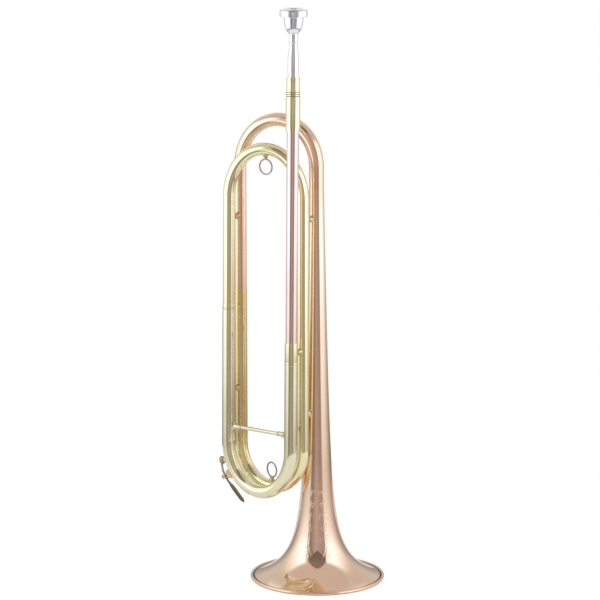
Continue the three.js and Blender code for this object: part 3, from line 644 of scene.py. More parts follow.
def bell_rings():
    angles = sheet_angles()
    smooth = land + bead + [(seam_reach, flare_edge - seam_depth)]
    rings = []
    for engraved, profile in ((False, smooth), (True, outside), (False, inside)):
        for radius, height in profile:
            ring = []
            for angle in angles:
                depth = cut_at(radius * (angle - bell_front), height) if engraved else 0
                outward = east * math.cos(angle) + north * math.sin(angle)
                ring.append(bell_axis + outward * (radius - depth) + upright * height)
            rings.append(ring)
    return rings


def seam_painted_shade(place, clouds):
    """Painted shade: a dark brown line in the seam between the bead and the flare."""
    flat = place.node("ShaderNodeVectorMath", {"operation": "MULTIPLY"}, {0: place, 1: (1, 1, 0)})
    distance = {"operation": "DISTANCE"}
    reach = flat.node("ShaderNodeVectorMath", distance, {0: flat, 1: bell_axis}, output=1)
    height = place.node("ShaderNodeSeparateXYZ", None, {0: place}, output=2)
    near = 1 - rise(abs(reach - seam_reach + clouds * 0.0003), 0.0004, 0.0014)
    return near * rise(height, 0.0005, 0.001) * (1 - rise(height, 0.0027, 0.0034))


bell_light = (0.90, 0.67, 0.50)
bell_deep = (0.86, 0.59, 0.42)
# Painted shade in the seam under the rolled bead, dark brown.
seam_shade_brown = (0.24, 0.13, 0.08)
bell_brass = lacquered("bell_brass", bell_light, bell_deep, overlay_colour=seam_shade_brown, overlay_share=seam_painted_shade)
bell_piece = skinned("spun_bell", bell_rings(), bell_brass, sharp=40)
fit(bell_piece, "horn", "rose_brass", "bell", "bell_stem", lean=bell_lean)


# A short collar joins the leadpipe to the inner tube of the slide below it, and a lower one
# stands at the root of the left inner tube. Both are turned brass, soldered on.
def eased(corners, steps=5):
    """A turned outline through corners (radius, height, ease), each rounded off by its ease."""
    points = [Vector(corners[0][:2])]
    for before, (radius, height, ease), after in zip(corners, corners[1:], corners[2:]):
        corner = Vector((radius, height))
        into, out = Vector(before[:2]) - corner, Vector(after[:2]) - corner
        start = corner + into.normalized() * min(ease, into.length * 0.49)
        end = corner + out.normalized() * min(ease, out.length * 0.49)
        for step in range(steps + 1) if ease else (0,):
            share = step / steps
            middle = corner * 2 * share * (1 - share)
            points.append(start * (1 - share) ** 2 + middle + end * share ** 2)
    points.append(Vector(corners[-1][:2]))
    return [tuple(point) for point in points]


solder_gap = 0.00005
right_inner = Leg("right_inner_slide_tube", front_lean)
right_collar = Leg("leadpipe_collar", front_lean)
collar_bore = right_inner.radius + solder_gap
collar_mouth = leadpipe_foot_radius + solder_gap
collar_step = right_collar.top - 0.001
right_collar_points = eased([
    (collar_bore, right_collar.foot, 0), (right_collar.radius, right_collar.foot, 0.00025),
    (right_collar.radius, right_collar.top, 0.0004), (collar_mouth + 0.00003, right_collar.top, 0.0001),
    (collar_mouth, collar_step, 0), (collar_bore, collar_step, 0),
])
right_sleeve = turned("leadpipe_collar_sleeve", right_collar.axis, right_collar_points, yellow_brass)
fit(right_sleeve, "horn", "yellow_brass", "leadpipe_collar", lean=front_lean)

left_inner = Leg("left_inner_slide_tube", front_lean)
left_collar = Leg("left_slide_collar", front_lean)
left_bore = left_inner.radius - tube_thickness
mouth_ridge = left_collar.top - 0.0009
mouth_groove_width = 0.0003
mouth_groove_depth = 0.00018
left_collar_points = eased([
    (left_bore, left_collar.foot, 0), (left_collar.radius, left_collar.foot, 0.00015),
    (left_collar.radius, mouth_ridge - mouth_groove_width, 0.00015),
    (left_collar.radius - mouth_groove_depth, mouth_ridge - mouth_groove_width / 2, 0),
    (left_collar.radius, mouth_ridge, 0.0001),
    (left_collar.radius, left_collar.top, 0.0004), (left_bore, left_collar.top, 0),
])
left_sleeve = turned("left_slide_collar_sleeve", left_collar.axis, left_collar_points, yellow_brass)
fit(left_sleeve, "horn", "yellow_brass", "left_slide_collar", lean=front_lean)


# The receiver is turned from thick yellow brass. Three fine grooves mark where it narrows, and
# its top is bored to a taper for the mouthpiece.
receiver = Leg("receiver", front_lean)
receiver_foot_radius = 0.0067
receiver_neck = 0.0066
receiver_lip = 0.0068
lip_foot = receiver.top - 0.0013
leadpipe_socket = leadpipe_top_radius + solder_gap
socket_top = receiver.foot + 0.0121
shank_bore = 0.00535
shank_bore_foot = receiver.top - 0.024
leadpipe_bore = 0.0044
ridge_radius = 0.00695
ridge_pitch = 0.0019
groove_depth = 0.0007
groove_width = 0.0003
grooves = [receiver.foot + 0.0345 + ridge_pitch * groove for groove in range(3)]
groove_corners = []
for low in grooves:
    groove_corners += [
        (ridge_radius - groove_depth, low, 0.0001),
        (ridge_radius - groove_depth, low + groove_width, 0.00008),
        (ridge_radius, low + groove_width + 0.0001, 0.00025),
        (ridge_radius, low + ridge_pitch - 0.00008, 0.00025),
    ]
receiver_points = eased([
    (leadpipe_socket, receiver.foot, 0), (receiver_foot_radius, receiver.foot, 0.0002),
    (receiver.radius, receiver.foot + 0.005, 0.003),
    (receiver.radius, grooves[0] - groove_width, 0.0004), *groove_corners,
    (receiver_neck, grooves[-1] + ridge_pitch, 0.0002), (receiver_neck, lip_foot - 0.0003, 0.0003),
    (receiver_lip, lip_foot, 0.0002), (receiver_lip, receiver.top, 0.0003),
    (shank_bore, receiver.top, 0.0002), (leadpipe_bore, shank_bore_foot, 0),
    (leadpipe_bore, socket_top, 0), (leadpipe_socket, socket_top, 0),
    (leadpipe_socket, receiver.foot, 0),
])


def groove_darkening(place, clouds):
    """The three grooves are coloured darker brown."""
    height = place.node("ShaderNodeSeparateXYZ", None, {0: place}, output=2) + clouds * 0.0001
    middles = [low + groove_width / 2 for low in grooves]
    return sum(1 - rise(abs(height - middle), 0.00015, 0.0004) for middle in middles)


groove_brown = (0.42, 0.30, 0.16)
receiver_brass = lacquered(
    "receiver_brass", yellow_light, yellow_deep, overlay_colour=groove_brown, overlay_share=groove_darkening)
receiver_piece = turned(
    "receiver_turning", right_inner.axis, receiver_points[:-1], receiver_brass, sides=96)
fit(receiver_piece, "horn", "yellow_brass", "receiver", lean=front_lean)


# Short brass stays hold the legs apart. Each is a turned post whose two flanges are shaped to
# the tubes and soft-soldered; where the bell nearly meets the loop only a flared pad fits.
def post(name, start, direction, tube_direction, rings, finish, sides=40):
    """A post between two tubes. A ring is (half width, half height, distance from the first
    tube's axis, share of the tube's curve that it follows, radius of that tube)."""
    width = direction.cross(tube_direction).normalized()
    height = tube_direction.normalized()
    points = []
    for half_width, half_height, reach, follow, tube in rings:
        ring = []
        for side in range(sides):
            turn = 2 * math.pi * side / sides
            aside = half_width * math.cos(turn)
            curve = abs(tube) - math.sqrt(max(tube * tube - aside * aside, 0))
            along = reach - follow * math.copysign(curve, tube)
            up = half_height * math.sin(turn)
            ring.append(start + direction * along + width * aside + height * up)
        points.append(ring)
    return skinned(name, points, finish, capped=True, sharp=50)


def round_rings(sizes, tube):
    """Rings for a round post on a tube from (radius, distance, share of the tube's curve)."""
    return [(radius, radius, reach, follow, tube) for radius, reach, follow in sizes]


# Painted shade: the stays are coloured darker brown for the shade between the tubes; the pad, lanyard
# posts and key saddle share it.
stay_shade_light = (0.74, 0.58, 0.34)
stay_shade_deep = (0.56, 0.38, 0.18)
shaded_stay_brass = lacquered("shaded_stay_brass", stay_shade_light, stay_shade_deep, wear=1.6)
stay_radius = 0.002
stay_flange = 0.0035
flange_thickness = 0.0011
flange_neck = 0.0017
solder_depth = 0.0001


def flange(tube, reach, side):
    """Rings of a stay's flange on a tube, from its face to the post. Side is 1 or -1."""
    thick, neck = flange_thickness, flange_neck
    sizes = [
        (stay_flange * 0.97, 0, 1), (stay_flange, thick * 0.35, 1), (stay_flange, thick * 0.75, 1),
        (stay_flange * 0.95, thick, 0.9), (stay_flange * 0.84, thick + neck * 0.12, 0.7),
        (stay_radius * 1.35, thick + neck * 0.45, 0.4), (stay_radius * 1.1, thick + neck * 0.8, 0.15),
        (stay_radius, thick + neck * 1.2, 0),
    ]
    placed = [(radius, reach + side * along, follow) for radius, along, follow in sizes]
    return round_rings(placed, side * tube)[::side]


def stay(node, first, last, first_radius=None, last_radius=None):
    height = middle_of(node).z
    start, end = first.at(height), last.at(height)
    start_radius, end_radius = first_radius or first.radius, last_radius or last.radius
    rings = flange(start_radius, start_radius - solder_depth, 1)
    rings += flange(end_radius, (end - start).length - end_radius + solder_depth, -1)
    piece = post(f"{node}_post", start, (end - start).normalized(), upright, rings, shaded_stay_brass)
    fit(piece, "horn", "yellow_brass", node)


cupped_radius = right_collar.radius + 0.0004
bell_at_stay = bell_radius(middle_of("upper_right_stay").z)[0]
stay("upper_left_stay", left_front, left_rear_upper)
stay("upper_right_stay", right_rear_upper, bell_tail, last_radius=bell_at_stay)
stay("collar_stay", right_collar, right_rear_lower)
left_slide = Leg("left_slide_tube", front_lean)
stay("lower_left_stay", left_slide, left_rear_lower, first_radius=cupped_radius)

pad_height = middle_of("bell_stay").z
pad_start = right_rear_lower.at(pad_height)
pad_span = bell_tail.at(pad_height) - pad_start
pad_leg = right_rear_lower.radius
pad_bell = bell_radius(pad_height)[0]
pad_gap = pad_span.length - pad_bell - pad_leg
pad_sink = 0.0002
pad_radius = 0.005
leg_sizes = [
    (0.0034, pad_leg - pad_sink, 1), (0.0035, pad_leg + pad_gap * 0.3, 1),
    (0.0037, pad_leg + pad_gap * 0.55, 0.3)]
bell_sizes = [
    (pad_radius - 0.0005, pad_leg + pad_gap * 0.75, 1), (pad_radius, pad_leg + pad_gap * 0.9, 1),
    (pad_radius, pad_leg + pad_gap + pad_sink, 1)]
pad_rings = round_rings(leg_sizes, pad_leg) + round_rings(bell_sizes, -pad_bell)
pad = post("bell_stay_pad", pad_start, pad_span.normalized(), upright, pad_rings, shaded_stay_brass)
fit(pad, "horn", "yellow_brass", "bell_stay")


# Two rings of brass wire take the lanyard. Each is bent round, brazed shut and soldered to a
# small post on the inner side of a bow.
wire_light = (0.46, 0.42, 0.31)
wire_deep = (0.32, 0.28, 0.20)
wire_brass = lacquered("lanyard_wire", wire_light, wire_deep, wear=1.8)
ring_radius = 0.00745
ring_wire = 0.00085
ring_steps = 96
post_foot_radius = 0.0029
post_neck_radius = 0.0024
post_waist_radius = 0.0020
post_tip_radius = 0.0013


def lanyard(name, bow, twist=0):
    """A ring and its post. The twist turns the ring about its post."""
    centre = middle_of(f"{name}_ring")
    sideways = Vector((math.cos(twist), math.sin(twist), 0))
    across = Vector((-math.sin(twist), math.cos(twist), 0))
    rings = []
    for step in range(ring_steps):
        turn = 2 * math.pi * step / ring_steps
        outward = sideways * math.cos(turn) + upright * math.sin(turn)
        middle = centre + outward * ring_radius
        rings.append(oval_points(middle, across * ring_wire, outward * ring_wire, 20))
    fit(skinned(f"{name}_wire_ring", rings, wire_brass), "horn", "yellow_brass", f"{name}_ring")

    apex, along = bow.place(math.pi / 2)
    inward = upright * -math.copysign(1, bow.reach)
    tube = sum(bow.radii) / 2
    gap = abs(centre.z - apex.z) - ring_radius - tube
    sizes = [
        (post_foot_radius, tube - solder_depth, 1), (post_foot_radius + 0.0001, tube + gap * 0.08, 1),
        (post_foot_radius, tube + gap * 0.16, 1), (post_neck_radius, tube + gap * 0.3, 0.6),
        (post_waist_radius + 0.0001, tube + gap * 0.5, 0.2), (post_waist_radius, tube + gap * 0.85, 0),
        (post_waist_radius - 0.0001, tube + gap, 0), (post_tip_radius, tube + gap + 0.0004, 0),
    ]
    foot = post(f"{name}_post", apex, inward, along, round_rings(sizes, tube), shaded_stay_brass)
    fit(foot, "horn", "yellow_brass", f"{name}_foot")


lanyard("top_lanyard", front_top_bow)
lanyard("bottom_lanyard", rear_foot_bow, math.radians(-16))


# The tuning slide draws downward on two inner tubes of nickel silver. Its outer tubes and bow
# are yellow brass, and the right tube's mouth is stiffened by a rolled bead.
nickel_light = (0.72, 0.70, 0.66)
nickel_deep = (0.66, 0.63, 0.58)
nickel_silver = lacquered("nickel_silver", nickel_light, nickel_deep)
straight_tube(right_inner, nickel_silver, "nickel_silver")
straight_tube(left_inner, nickel_silver, "nickel_silver")

slide_light = (0.86, 0.81, 0.55)
slide_deep = (0.80, 0.74, 0.47)
slide_brass = lacquered("slide_brass", slide_light, slide_deep, wear=0.7)
right_slide = Leg("right_slide_tube", front_lean)
slide_radius = left_slide.radius
slide_bore = slide_radius - tube_thickness
slide_bend = left_slide.foot
mouth_bead_foot = right_slide.top - 0.004
right_tube_points = eased([
    (slide_radius, slide_bend, 0), (slide_radius, mouth_bead_foot - 0.0002, 0.0001),
    (slide_radius - 0.0001, mouth_bead_foot, 0.00005),
    (right_slide.radius, mouth_bead_foot + 0.00015, 0.0002),
    (right_slide.radius, right_slide.top, 0.0003), (slide_bore, right_slide.top, 0.0001),
    (slide_bore, slide_bend, 0),
])
left_tube_points = eased([
    (slide_radius, slide_bend, 0), (slide_radius, left_slide.top, 0.0003),
    (slide_bore, left_slide.top, 0.0001), (slide_bore, slide_bend, 0),
])
slide_tubes = (right_slide, right_inner, right_tube_points), (left_slide, left_inner, left_tube_points)
for slide, inner, points in slide_tubes:
    slide_tube = turned(f"{slide.node}_outer", inner.axis, points, slide_brass)
    fit(slide_tube, "tuning_slide", "yellow_brass", slide.node, lean=front_lean)

slide_drop = slide_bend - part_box("slide_bow")[0].z - slide_radius
slide_radii = slide_radius, slide_radius
slide_bow = Bow(left_inner.axis, right_inner.axis, slide_radii, slide_bend, -slide_drop)
slide_bow_lean = (-front_lean[0], 2 * slide_bend - front_lean[1])
bent_tube("slide_bow", slide_bow, slide_brass, "tuning_slide", "yellow_brass", lean=slide_bow_lean)


# A long brace keeps the slide's legs apart and serves as its handle. Two cast feet with oval
# plates are soldered to the legs, and a plain rod runs between their sockets.
brace_light = (0.72, 0.67, 0.48)
brace_deep = (0.64, 0.58, 0.40)
brace_brass = lacquered("brace_brass", brace_light, brace_deep, wear=1.5)
rod_low, rod_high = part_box("slide_brace_rod")
brace_height = (rod_low.z + rod_high.z) / 2
rod_radius = (rod_high.y - rod_low.y) / 2
rod_depth = 0.001
plate_height = 0.0045
plate_width = 0.004
plate_thickness = 0.001
cone_radius = 0.0031
cone_neck = 0.0022
cone_length = 0.007
socket_radius = 0.0026
socket_length = 0.0012
socket_edge = 0.0003


def brace_foot(name, leg, toward):
    plate = slide_radius + plate_thickness
    neck = plate + cone_length
    plate_places = (
        (0.96, -solder_depth, 1), (1, 0.0002, 1), (1, 0.0005, 1), (0.92, 0.0009, 0.95))
    cone_places = (
        (cone_radius * 0.84, plate + cone_length * 0.45), (cone_neck, neck - socket_edge),
        (cone_neck * 0.97, neck), (socket_radius * 0.96, neck + 0.0001),
        (socket_radius, neck + socket_edge), (socket_radius, neck + socket_length - socket_edge),
        (socket_radius * 0.94, neck + socket_length))
    rings = [
        (plate_width * wide, plate_height * wide, slide_radius + reach, follow, slide_radius)
        for wide, reach, follow in plate_places]
    rings += [
        (cone_radius * 1.02, cone_radius * 1.15, plate + 0.0002, 0.5, slide_radius),
        (cone_radius * 0.95, cone_radius * 0.98, plate + 0.001, 0.1, slide_radius)]
    rings += round_rings([(radius, reach, 0) for radius, reach in cone_places], slide_radius)
    direction = (toward.axis - leg.axis).normalized()
    start = leg.axis + upright * brace_height
    piece = post(f"{name}_casting", start, direction, upright, rings, brace_brass)
    fit(piece, "tuning_slide", "yellow_brass", name, lean=front_lean)


brace_foot("slide_brace_left_foot", left_inner, right_inner)
brace_foot("slide_brace_right_foot", right_inner, left_inner)
rod_start = Vector((rod_low.x - rod_depth, left_inner.axis.y, brace_height))
rod_end = Vector((rod_high.x + rod_depth, left_inner.axis.y, brace_height))
rod_rings = [
    oval_points(rod_start.lerp(rod_end, share), north * rod_radius, upright * rod_radius, 40)
    for share in (0, 0.02, 0.5, 0.98, 1)]
rod = skinned("slide_brace_bar", rod_rings, brace_brass, capped=True)
fit(rod, "tuning_slide", "yellow_brass", "slide_brace_rod")


# The mouthpiece is turned in one from brass rod and silver plated: a rounded rim, a cup that
# tapers to the neck with its small ring, and a long tapered shank that sits in the receiver.
plate_light = (0.90, 0.94, 0.96)
plate_deep = (0.86, 0.90, 0.92)
silver_plate = lacquered("silver_plate", plate_light, plate_deep, wear=0.6)
mouthpiece = Leg("mouthpiece", front_lean)
seat = receiver.top
rim_top = mouthpiece.top
shank_foot_radius = 0.0046
shank_seat_radius = 0.00505
swell_radius = 0.00555
neck_radius = 0.00405
neck_ring_radius = 0.0050
neck_ring = seat + 0.0326
neck_ring_width = 0.001
bowl_foot_radius = 0.00435
bowl_foot = seat + 0.0413
bowl_radius = 0.0098
rim_foot = seat + 0.0580
rim_foot_radius = 0.0134
cup_mouth_radius = 0.0088
throat_radius = 0.0019
throat_foot = rim_top - 0.019
backbore_radius = 0.0037
mouthpiece_points = eased([
    (backbore_radius, mouthpiece.foot, 0), (shank_foot_radius, mouthpiece.foot, 0.0002),
    (shank_seat_radius, seat, 0.0005), (swell_radius, seat + 0.006, 0.003),
    (swell_radius, seat + 0.019, 0.005), (neck_radius, seat + 0.0295, 0.003),
    (neck_radius + 0.0002, neck_ring - 0.0004, 0.0004), (neck_ring_radius, neck_ring, 0.0003),
    (neck_ring_radius, neck_ring + neck_ring_width, 0.0003),
    (bowl_foot_radius - 0.00005, neck_ring + neck_ring_width + 0.0005, 0.0003),
    (bowl_foot_radius, bowl_foot, 0.0006), (0.0064, bowl_foot + 0.0023, 0.0008),
    (0.0084, bowl_foot + 0.0057, 0.002), (0.0093, bowl_foot + 0.0102, 0.003),
    (bowl_radius - 0.0002, rim_foot - 0.0020, 0.002), (bowl_radius, rim_foot, 0.0005),
    (rim_foot_radius, rim_foot, 0.0005), (mouthpiece.radius, rim_foot + 0.0012, 0.0009),
    (mouthpiece.radius, rim_foot + 0.0055, 0.0016), (0.0127, rim_top - 0.0004, 0.001),
    (0.0112, rim_top, 0.0009), (cup_mouth_radius, rim_top - 0.0008, 0.0009),
    (0.0082, rim_top - 0.0033, 0.0015), (0.0069, rim_top - 0.0075, 0.002),
    (0.0046, rim_top - 0.0112, 0.0015), (throat_radius, rim_top - 0.013, 0.0007),
    (throat_radius, throat_foot, 0.001), (backbore_radius, mouthpiece.foot, 0),
], steps=8)
mouthpiece_piece = turned(
    "mouthpiece_turning", right_inner.axis, mouthpiece_points[:-1], silver_plate, sides=128)
fit(mouthpiece_piece, "mouthpiece_body", "silver_plate", "mouthpiece", lean=front_lean)


# The water key lets moisture out of the slide's lowest bend. Its seat is a small turned ring of
# brass, cupped to the bow and soldered on over the hole.
seat_turn = math.radians(22.5)
seat_top = slide_radius + 0.0028
seat_foot_radius = 0.0034
seat_radius = 0.003
seat_bore = 0.0016
key_turn = math.radians(39)
pivot_height = 0.0066
pivot_reach = slide_radius + pivot_height


def outward_from(direction):
    return Vector((direction.z, 0, -direction.x))


def on_slide_bow(turn, reach):
    """Frame on the slide's bow: +Z points away from the bow's middle, +X up along its tube."""
    place, direction = slide_bow.place(turn)
    outward = outward_from(direction)
    turned_out = Matrix.Rotation(math.atan2(outward.x, outward.z), 4, "Y")
    return Matrix.Translation(place + outward * reach) @ turned_out


pivot_frame = on_slide_bow(key_turn, pivot_reach)
seat_frame = on_slide_bow(seat_turn, 0)
seat_place, seat_direction = slide_bow.place(seat_turn)
seat_rings = round_rings([
    (seat_foot_radius, slide_radius - 0.0002, 1), (seat_foot_radius, slide_radius + 0.0003, 1),
    (seat_radius, slide_radius + 0.0007, 0.6), (seat_radius, seat_top - 0.0002, 0),
    (seat_radius - 0.0002, seat_top, 0), (seat_bore + 0.0001, seat_top, 0),
    (seat_bore, seat_top - 0.0001, 0), (seat_bore, slide_radius - 0.0001, 0),
], slide_radius)
nipple = post(
    "water_key_nipple_turning", seat_place, outward_from(seat_direction), seat_direction,
    seat_rings, yellow_brass)
fit(nipple, "tuning_slide", "yellow_brass", "water_key_nipple", lean=slide_bow_lean)


# The key rocks in a saddle of cast brass that straddles the bow. Two ears stand up from its
# base, which is cupped to the tube and soldered, and are drilled through for the screw.
ear_inside = 0.0034
ear_outside = 0.0046
ear_radius = 0.0023
ear_shoulder = -0.0022
ear_waist = 0.0027
ear_waist_drop = -0.0041
ear_root = 0.0036
ear_root_foot = 0.0038
base_top = 0.0016 - pivot_height
base_foot = -0.009
base_half = 0.0045
ear_foot = -0.008
screw_hole = 0.00105
cast_edge = 0.0002
tube_cut_half = 0.012


def moved(rings, matrix):
    return [[matrix @ point for point in ring] for ring in rings]


def crosswise_rings(profile, sides=40):
    """Rings turned round the pivot from points (radius, place along it)."""
    return [
        oval_points(north * place, east * radius, upright * radius, sides)
        for radius, place in profile]


def plate_rings(outline, low, high, edge=0.00015):
    """Rings of a plate across the pivot from an outline (x, z), with its edges broken."""
    levels = (low, 0.94), (low + edge, 1), (high - edge, 1), (high, 0.94)
    return [[Vector((x * scale, level, z * scale)) for x, z in outline] for level, scale in levels]


def assembled(name, shells, cutters, finish):
    """One piece from closed shells that are joined into one, less the cutters."""
    parts = [skinned(f"{name}_blank", rings, finish, capped=True) for rings in shells + cutters]
    for number, part in enumerate(parts[1:], start=1):
        step = parts[0].modifiers.new("step", "BOOLEAN")
        step.object = part
        step.operation = "UNION" if number < len(shells) else "DIFFERENCE"
        step.solver = "EXACT"
    graph = bpy.context.evaluated_depsgraph_get()
    form = bmesh.new()
    form.from_object(parts[0], graph)
    bmesh.ops.remove_doubles(form, verts=form.verts, dist=1e-6)
    for part in parts:
        bpy.data.objects.remove(part)
    return piece_of(name, form, finish, sharp=35)


ear_turns = [math.pi * step / 16 for step in range(17)]
ear_crown = [(ear_radius * math.cos(turn), ear_radius * math.sin(turn)) for turn in ear_turns]
ear_side = [
    (ear_radius, ear_shoulder), (ear_waist, ear_waist_drop),
    (ear_root, base_top), (ear_root_foot, ear_foot)]
ear_outline = ear_crown + [(-x, z) for x, z in ear_side] + ear_side[::-1]
base_corners = [(-1, base_top), (1, base_top), (1, base_foot), (-1, base_foot)]
base_full = base_half - cast_edge
base_places = [(-base_half, 0.97), (-base_full, 1), (base_full, 1), (base_half, 0.97)]
base = [
    [Vector((x, ear_outside * across * scale, z)) for across, z in base_corners]
    for x, scale in base_places]
bow_tube = [
    oval_points(Vector((x, 0, -pivot_reach)), north * slide_radius, upright * slide_radius, 64)
    for x in (-tube_cut_half, tube_cut_half)]
ear_sides = (-ear_outside, -ear_inside), (ear_inside, ear_outside)
ears = [plate_rings(ear_outline, *levels) for levels in ear_sides]
ear_hole = crosswise_rings([(screw_hole, -2 * ear_outside), (screw_hole, 2 * ear_outside)])
saddle = assembled(
    "water_key_saddle_casting", [moved(shell, pivot_frame) for shell in (base, *ears)],
    [moved(cutter, pivot_frame) for cutter in (bow_tube, ear_hole)], shaded_stay_brass)
fit(saddle, "tuning_slide", "yellow_brass", "water_key_saddle", lean=slide_bow_lean)


# The key itself is one brass casting: a barrel on the screw, an arm that ends in a round cup,
# and a leaf-shaped finger plate, which is painted dark brown with the arm's low end as painted shade.
seat_in_key = pivot_frame.inverted() @ seat_frame
cork_radius = 0.0033
cork_back = slide_radius + 0.0057
cup_radius = 0.0041
cup_foot = cork_back - 0.0013
cup_top = cork_back + 0.0008
cup_crown_radius = 0.0022
tip_radius = 0.00002
barrel_radius = 0.0021
barrel_bore = 0.0013
barrel_half = ear_inside - 0.0002
arm_thickness = 0.0015
arm_half = 0.0012
arm_aside = -0.0017
arm_root = -0.0008
arm_bulge = 0.0005
tab_root = 0.0006
plate_reach = 0.0318
plate_drop = 0.00415
plate_half = 0.0029


def bar_rings(path, sides=28):
    """Rings of a flat bar with rounded edges, from (x, z, half width, half thickness, y)."""
    rings = []
    for here, (x, z, half_width, half_thickness, aside) in enumerate(path):
        before, after = path[max(here - 1, 0)], path[min(here + 1, len(path) - 1)]
        along = Vector((after[0] - before[0], 0, after[1] - before[1])).normalized()
        over = Vector((-along.z, 0, along.x))
        ring = []
        for side in range(sides):
            turn = 2 * math.pi * (side + 0.5) / sides
            across = math.copysign(abs(math.cos(turn)) ** 0.55, math.cos(turn))
            up = math.copysign(abs(math.sin(turn)) ** 0.55, math.sin(turn))
            ring.append(Vector((x, aside + half_width * across, z)) + over * (half_thickness * up))
        rings.append(ring)
    return rings


def key_arm(steps=12):
    """The arm from the barrel to the crown of the cup, bowed a little outward."""
    start = barrel_radius - arm_thickness / 2
    crown = seat_in_key @ Vector((0, 0, cup_top - 0.0003))
    path = []
    for step in range(steps + 1):
        share = step / steps
        bow = math.sin(math.pi * share)
        aside = arm_aside * (1 - max(share - 0.5, 0) * 1.6)
        x = arm_root + (crown.x - arm_root) * share
        z = start + (crown.z - start) * share + arm_bulge * bow
        path.append((x, z, arm_half * (1.15 - 0.2 * bow), arm_thickness / 2, aside))
    return bar_rings(path)


def finger_plate(steps=30):
    """The stem from the barrel, which spreads into a leaf with a round tip."""
    start = barrel_radius - arm_thickness / 2
    path = []
    for step in range(steps + 1):
        share = step / steps
        slope = max(share - 0.12, 0) / 0.88
        leaf = max(min((share - 0.1) / 0.36, 1), 0)
        leaf = leaf * leaf * (3 - 2 * leaf)
        tip = math.sqrt(max(1 - max((share - 0.86) / 0.14, 0) ** 2, 0.03))
        stem = arm_half * (1 - 0.2 * min(share / 0.3, 1))
        x = tab_root - (plate_reach + tab_root) * share
        z = start - (start + plate_drop) * slope ** 1.25
        half = (stem * (1 - leaf) + plate_half * leaf) * tip
        aside = arm_aside * (1 - min(share / 0.4, 1))
        path.append((x, z, half, arm_thickness / 2 * (1 - 0.35 * share), aside))
    return bar_rings(path)


def key_painted_shade(place, clouds):
    """Painted shade: the finger plate and the arm that leads to it are dark brown below one height."""
    height = place.node("ShaderNodeSeparateXYZ", None, {0: place}, output=2)
    return 1 - rise(height + clouds * 0.002, shade_full_below, shade_gone_above)


key_light = (0.64, 0.60, 0.52)
key_deep = (0.42, 0.37, 0.32)
# Painted shade: the dark brown of the downward-facing finger plate, full below one height and gone
# above another.
key_shade_brown = (0.27, 0.20, 0.15)
shade_full_below = 0.091
shade_gone_above = 0.0965
key_brass = lacquered("key_brass", key_light, key_deep, overlay_colour=key_shade_brown, overlay_share=key_painted_shade)
cup = turned_rings(eased([
    (tip_radius, cup_foot, 0), (cup_radius, cup_foot, 0.0002), (cup_radius, cup_top - 0.0003, 0.0007),
    (cup_crown_radius, cup_top, 0.001), (tip_radius, cup_top + 0.00001, 0)]))
barrel = crosswise_rings([
    (barrel_radius * 0.93, -barrel_half), (barrel_radius, cast_edge - barrel_half),
    (barrel_radius, barrel_half - cast_edge), (barrel_radius * 0.93, barrel_half)])
cork_bed = cork_radius + 0.0002
cup_hollow = turned_rings([(cork_bed, cup_foot - 0.001), (cork_bed, cork_back + 0.0001)])
barrel_hole = crosswise_rings([(barrel_bore, -2 * barrel_half), (barrel_bore, 2 * barrel_half)])
lever_shells = [key_arm(), moved(cup, seat_in_key), barrel, finger_plate()]
lever = assembled(
    "water_key_lever_casting", [moved(shell, pivot_frame) for shell in lever_shells],
    [moved(cup_hollow, seat_frame), moved(barrel_hole, pivot_frame)], key_brass)
fit(lever, "water_key", "yellow_brass", "water_key_lever", lean=slide_bow_lean)


# The key turns on a slotted brass screw. Its plain shank is a close fit in both ears, and its
# head is eased at the edge.
shank_radius = 0.001
shank_point = 0.00085
head_radius = 0.0023
head_gap = 0.0003
head_foot = -ear_outside - head_gap
head_top = head_foot - 0.0016
slot_half = 0.0003
slot_reach = 0.003
slot_depth = 0.0007
screw_turning = crosswise_rings([
    (shank_point, ear_outside), (shank_radius, ear_outside - 0.0002),
    (shank_radius, head_foot), (head_radius - 0.0002, head_foot),
    (head_radius, head_foot - 0.0002), (head_radius, head_top + 0.0005),
    (head_radius - 0.00025, head_top + 0.00015), (head_radius - 0.0007, head_top)])
slot_corners = [
    (-slot_reach, -slot_half), (slot_reach, -slot_half),
    (slot_reach, slot_half), (-slot_reach, slot_half)]
screw_slot = [
    [Vector((x, y, z)) for x, z in slot_corners]
    for y in (head_top - slot_depth, head_top + slot_depth)]
screw_blank = moved(screw_turning, pivot_frame)
screw = assembled("water_key_pivot_screw", [screw_blank], [moved(screw_slot, pivot_frame)], key_brass)
fit(screw, "tuning_slide", "yellow_brass", "water_key_screw", lean=slide_bow_lean)


# A spring of steel wire holds the key shut. It is coiled round the barrel, hooks over the
# arm at one end and rests on the bow's tube at the other.
spring_wire = 0.0003
coil_radius = 0.00295
coils = 2
coil_pitch = 0.0013
hook_length = 0.002
hook_bend = 0.0004
hook_reach = 0.0065
foot_reach = 0.0075


def spring_path(steps=90):
    """Places along the wire's middle: the hook, the coils and the straight end."""
    start_y = arm_aside + arm_half + 2 * spring_wire
    end_y = start_y + coil_pitch * coils
    hook = Vector((hook_reach, start_y, barrel_radius + 2 * spring_wire))
    foot_drop = foot_reach ** 2 / (2 * slide_drop)
    foot_level = math.sqrt((slide_radius + spring_wire) ** 2 - end_y ** 2) - pivot_reach - foot_drop
    foot = Vector((-foot_reach, end_y, foot_level))
    first = math.atan2(hook.z, hook.x) + math.acos(coil_radius / math.hypot(hook.x, hook.z))
    last = math.atan2(foot.z, foot.x) - math.acos(coil_radius / math.hypot(foot.x, foot.z))
    sweep = last - first - 2 * math.pi * coils
    path = [hook - north * hook_length, hook - north * hook_bend, hook - east * hook_bend]
    for step in range(steps + 1):
        turn = first + sweep * step / steps
        side = start_y + (end_y - start_y) * step / steps
        path.append(Vector((coil_radius * math.cos(turn), side, coil_radius * math.sin(turn))))
    path.append(foot)
    return path


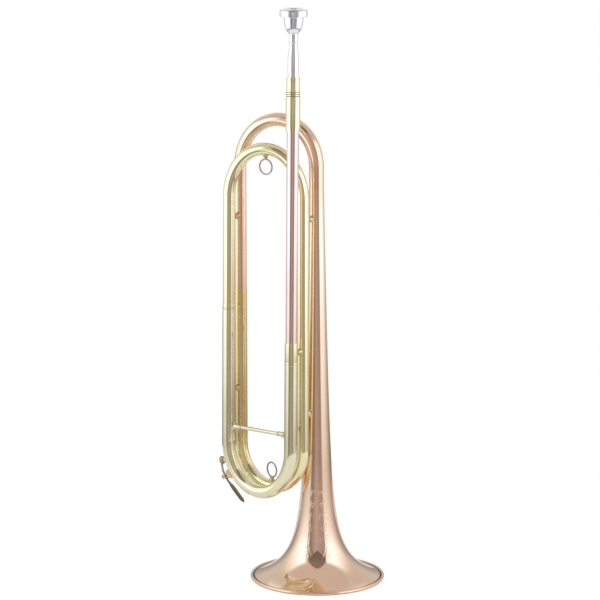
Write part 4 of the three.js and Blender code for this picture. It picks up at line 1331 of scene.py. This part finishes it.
def wire_rings(path, radius, sides=12):
    rings, across = [], east
    for here, place in enumerate(path):
        along = (path[min(here + 1, len(path) - 1)] - path[max(here - 1, 0)]).normalized()
        across = (across - along * across.dot(along)).normalized()
        rings.append(oval_points(place, across * radius, along.cross(across) * radius, sides))
    return rings


steel_light = (0.42, 0.40, 0.40)
steel_deep = (0.24, 0.20, 0.18)
spring_steel = lacquered("spring_steel", steel_light, steel_deep, wear=1.6)
spring_rings = moved(wire_rings(spring_path(), spring_wire), pivot_frame)
spring = skinned("water_key_spring_wire", spring_rings, spring_steel, capped=True)
fit(spring, "tuning_slide", "spring_steel", "water_key_spring", lean=slide_bow_lean)


# A disc of cork, glued into the key's cup, closes the hole. It is cut from natural cork and
# stands proud of the cup, so that only the cork meets the seat.
def cork_matter():
    """Cut cork: warm brown grains with dark pores, and no shine."""
    material = bpy.data.materials.new("cut_cork")
    material.use_nodes = True
    bark = Value(material.node_tree)
    place = bark.node("ShaderNodeTexCoord", output=3)
    grain = bark.node("ShaderNodeTexNoise", None, {"Vector": place, "Scale": 900, "Detail": 4})
    pores = bark.node("ShaderNodeTexVoronoi", None, {"Vector": place, "Scale": 1500})
    shader = material.node_tree.nodes["Principled BSDF"]
    colour = mixed(rise(pores, 0.1, 0.35), (*pore_brown, 1), (*bark_brown, 1))
    shade = mixed(grain, colour, (*bark_pale, 1))
    surface = bark.node("ShaderNodeBump", None, {"Strength": 0.4, "Distance": 0.0002, "Height": grain})
    roughness = 0.75 + grain * 0.2
    for socket, value in (("Base Color", shade), ("Roughness", roughness), ("Normal", surface)):
        material.node_tree.links.new(value.socket, shader.inputs[socket])
    return material


pore_brown = (0.20, 0.10, 0.05)
bark_brown = (0.52, 0.33, 0.18)
bark_pale = (0.62, 0.44, 0.27)
cork_foot = seat_top + 0.00005
cork_rings = turned_rings(eased([
    (tip_radius, cork_foot, 0), (cork_radius, cork_foot, 0.0003), (cork_radius, cork_back, 0.0002),
    (tip_radius, cork_back, 0)]))
cork = skinned("water_key_cork_pad", moved(cork_rings, seat_frame), cork_matter(), capped=True)
fit(cork, "water_key", "cork", "water_key_cork", lean=slide_bow_lean)
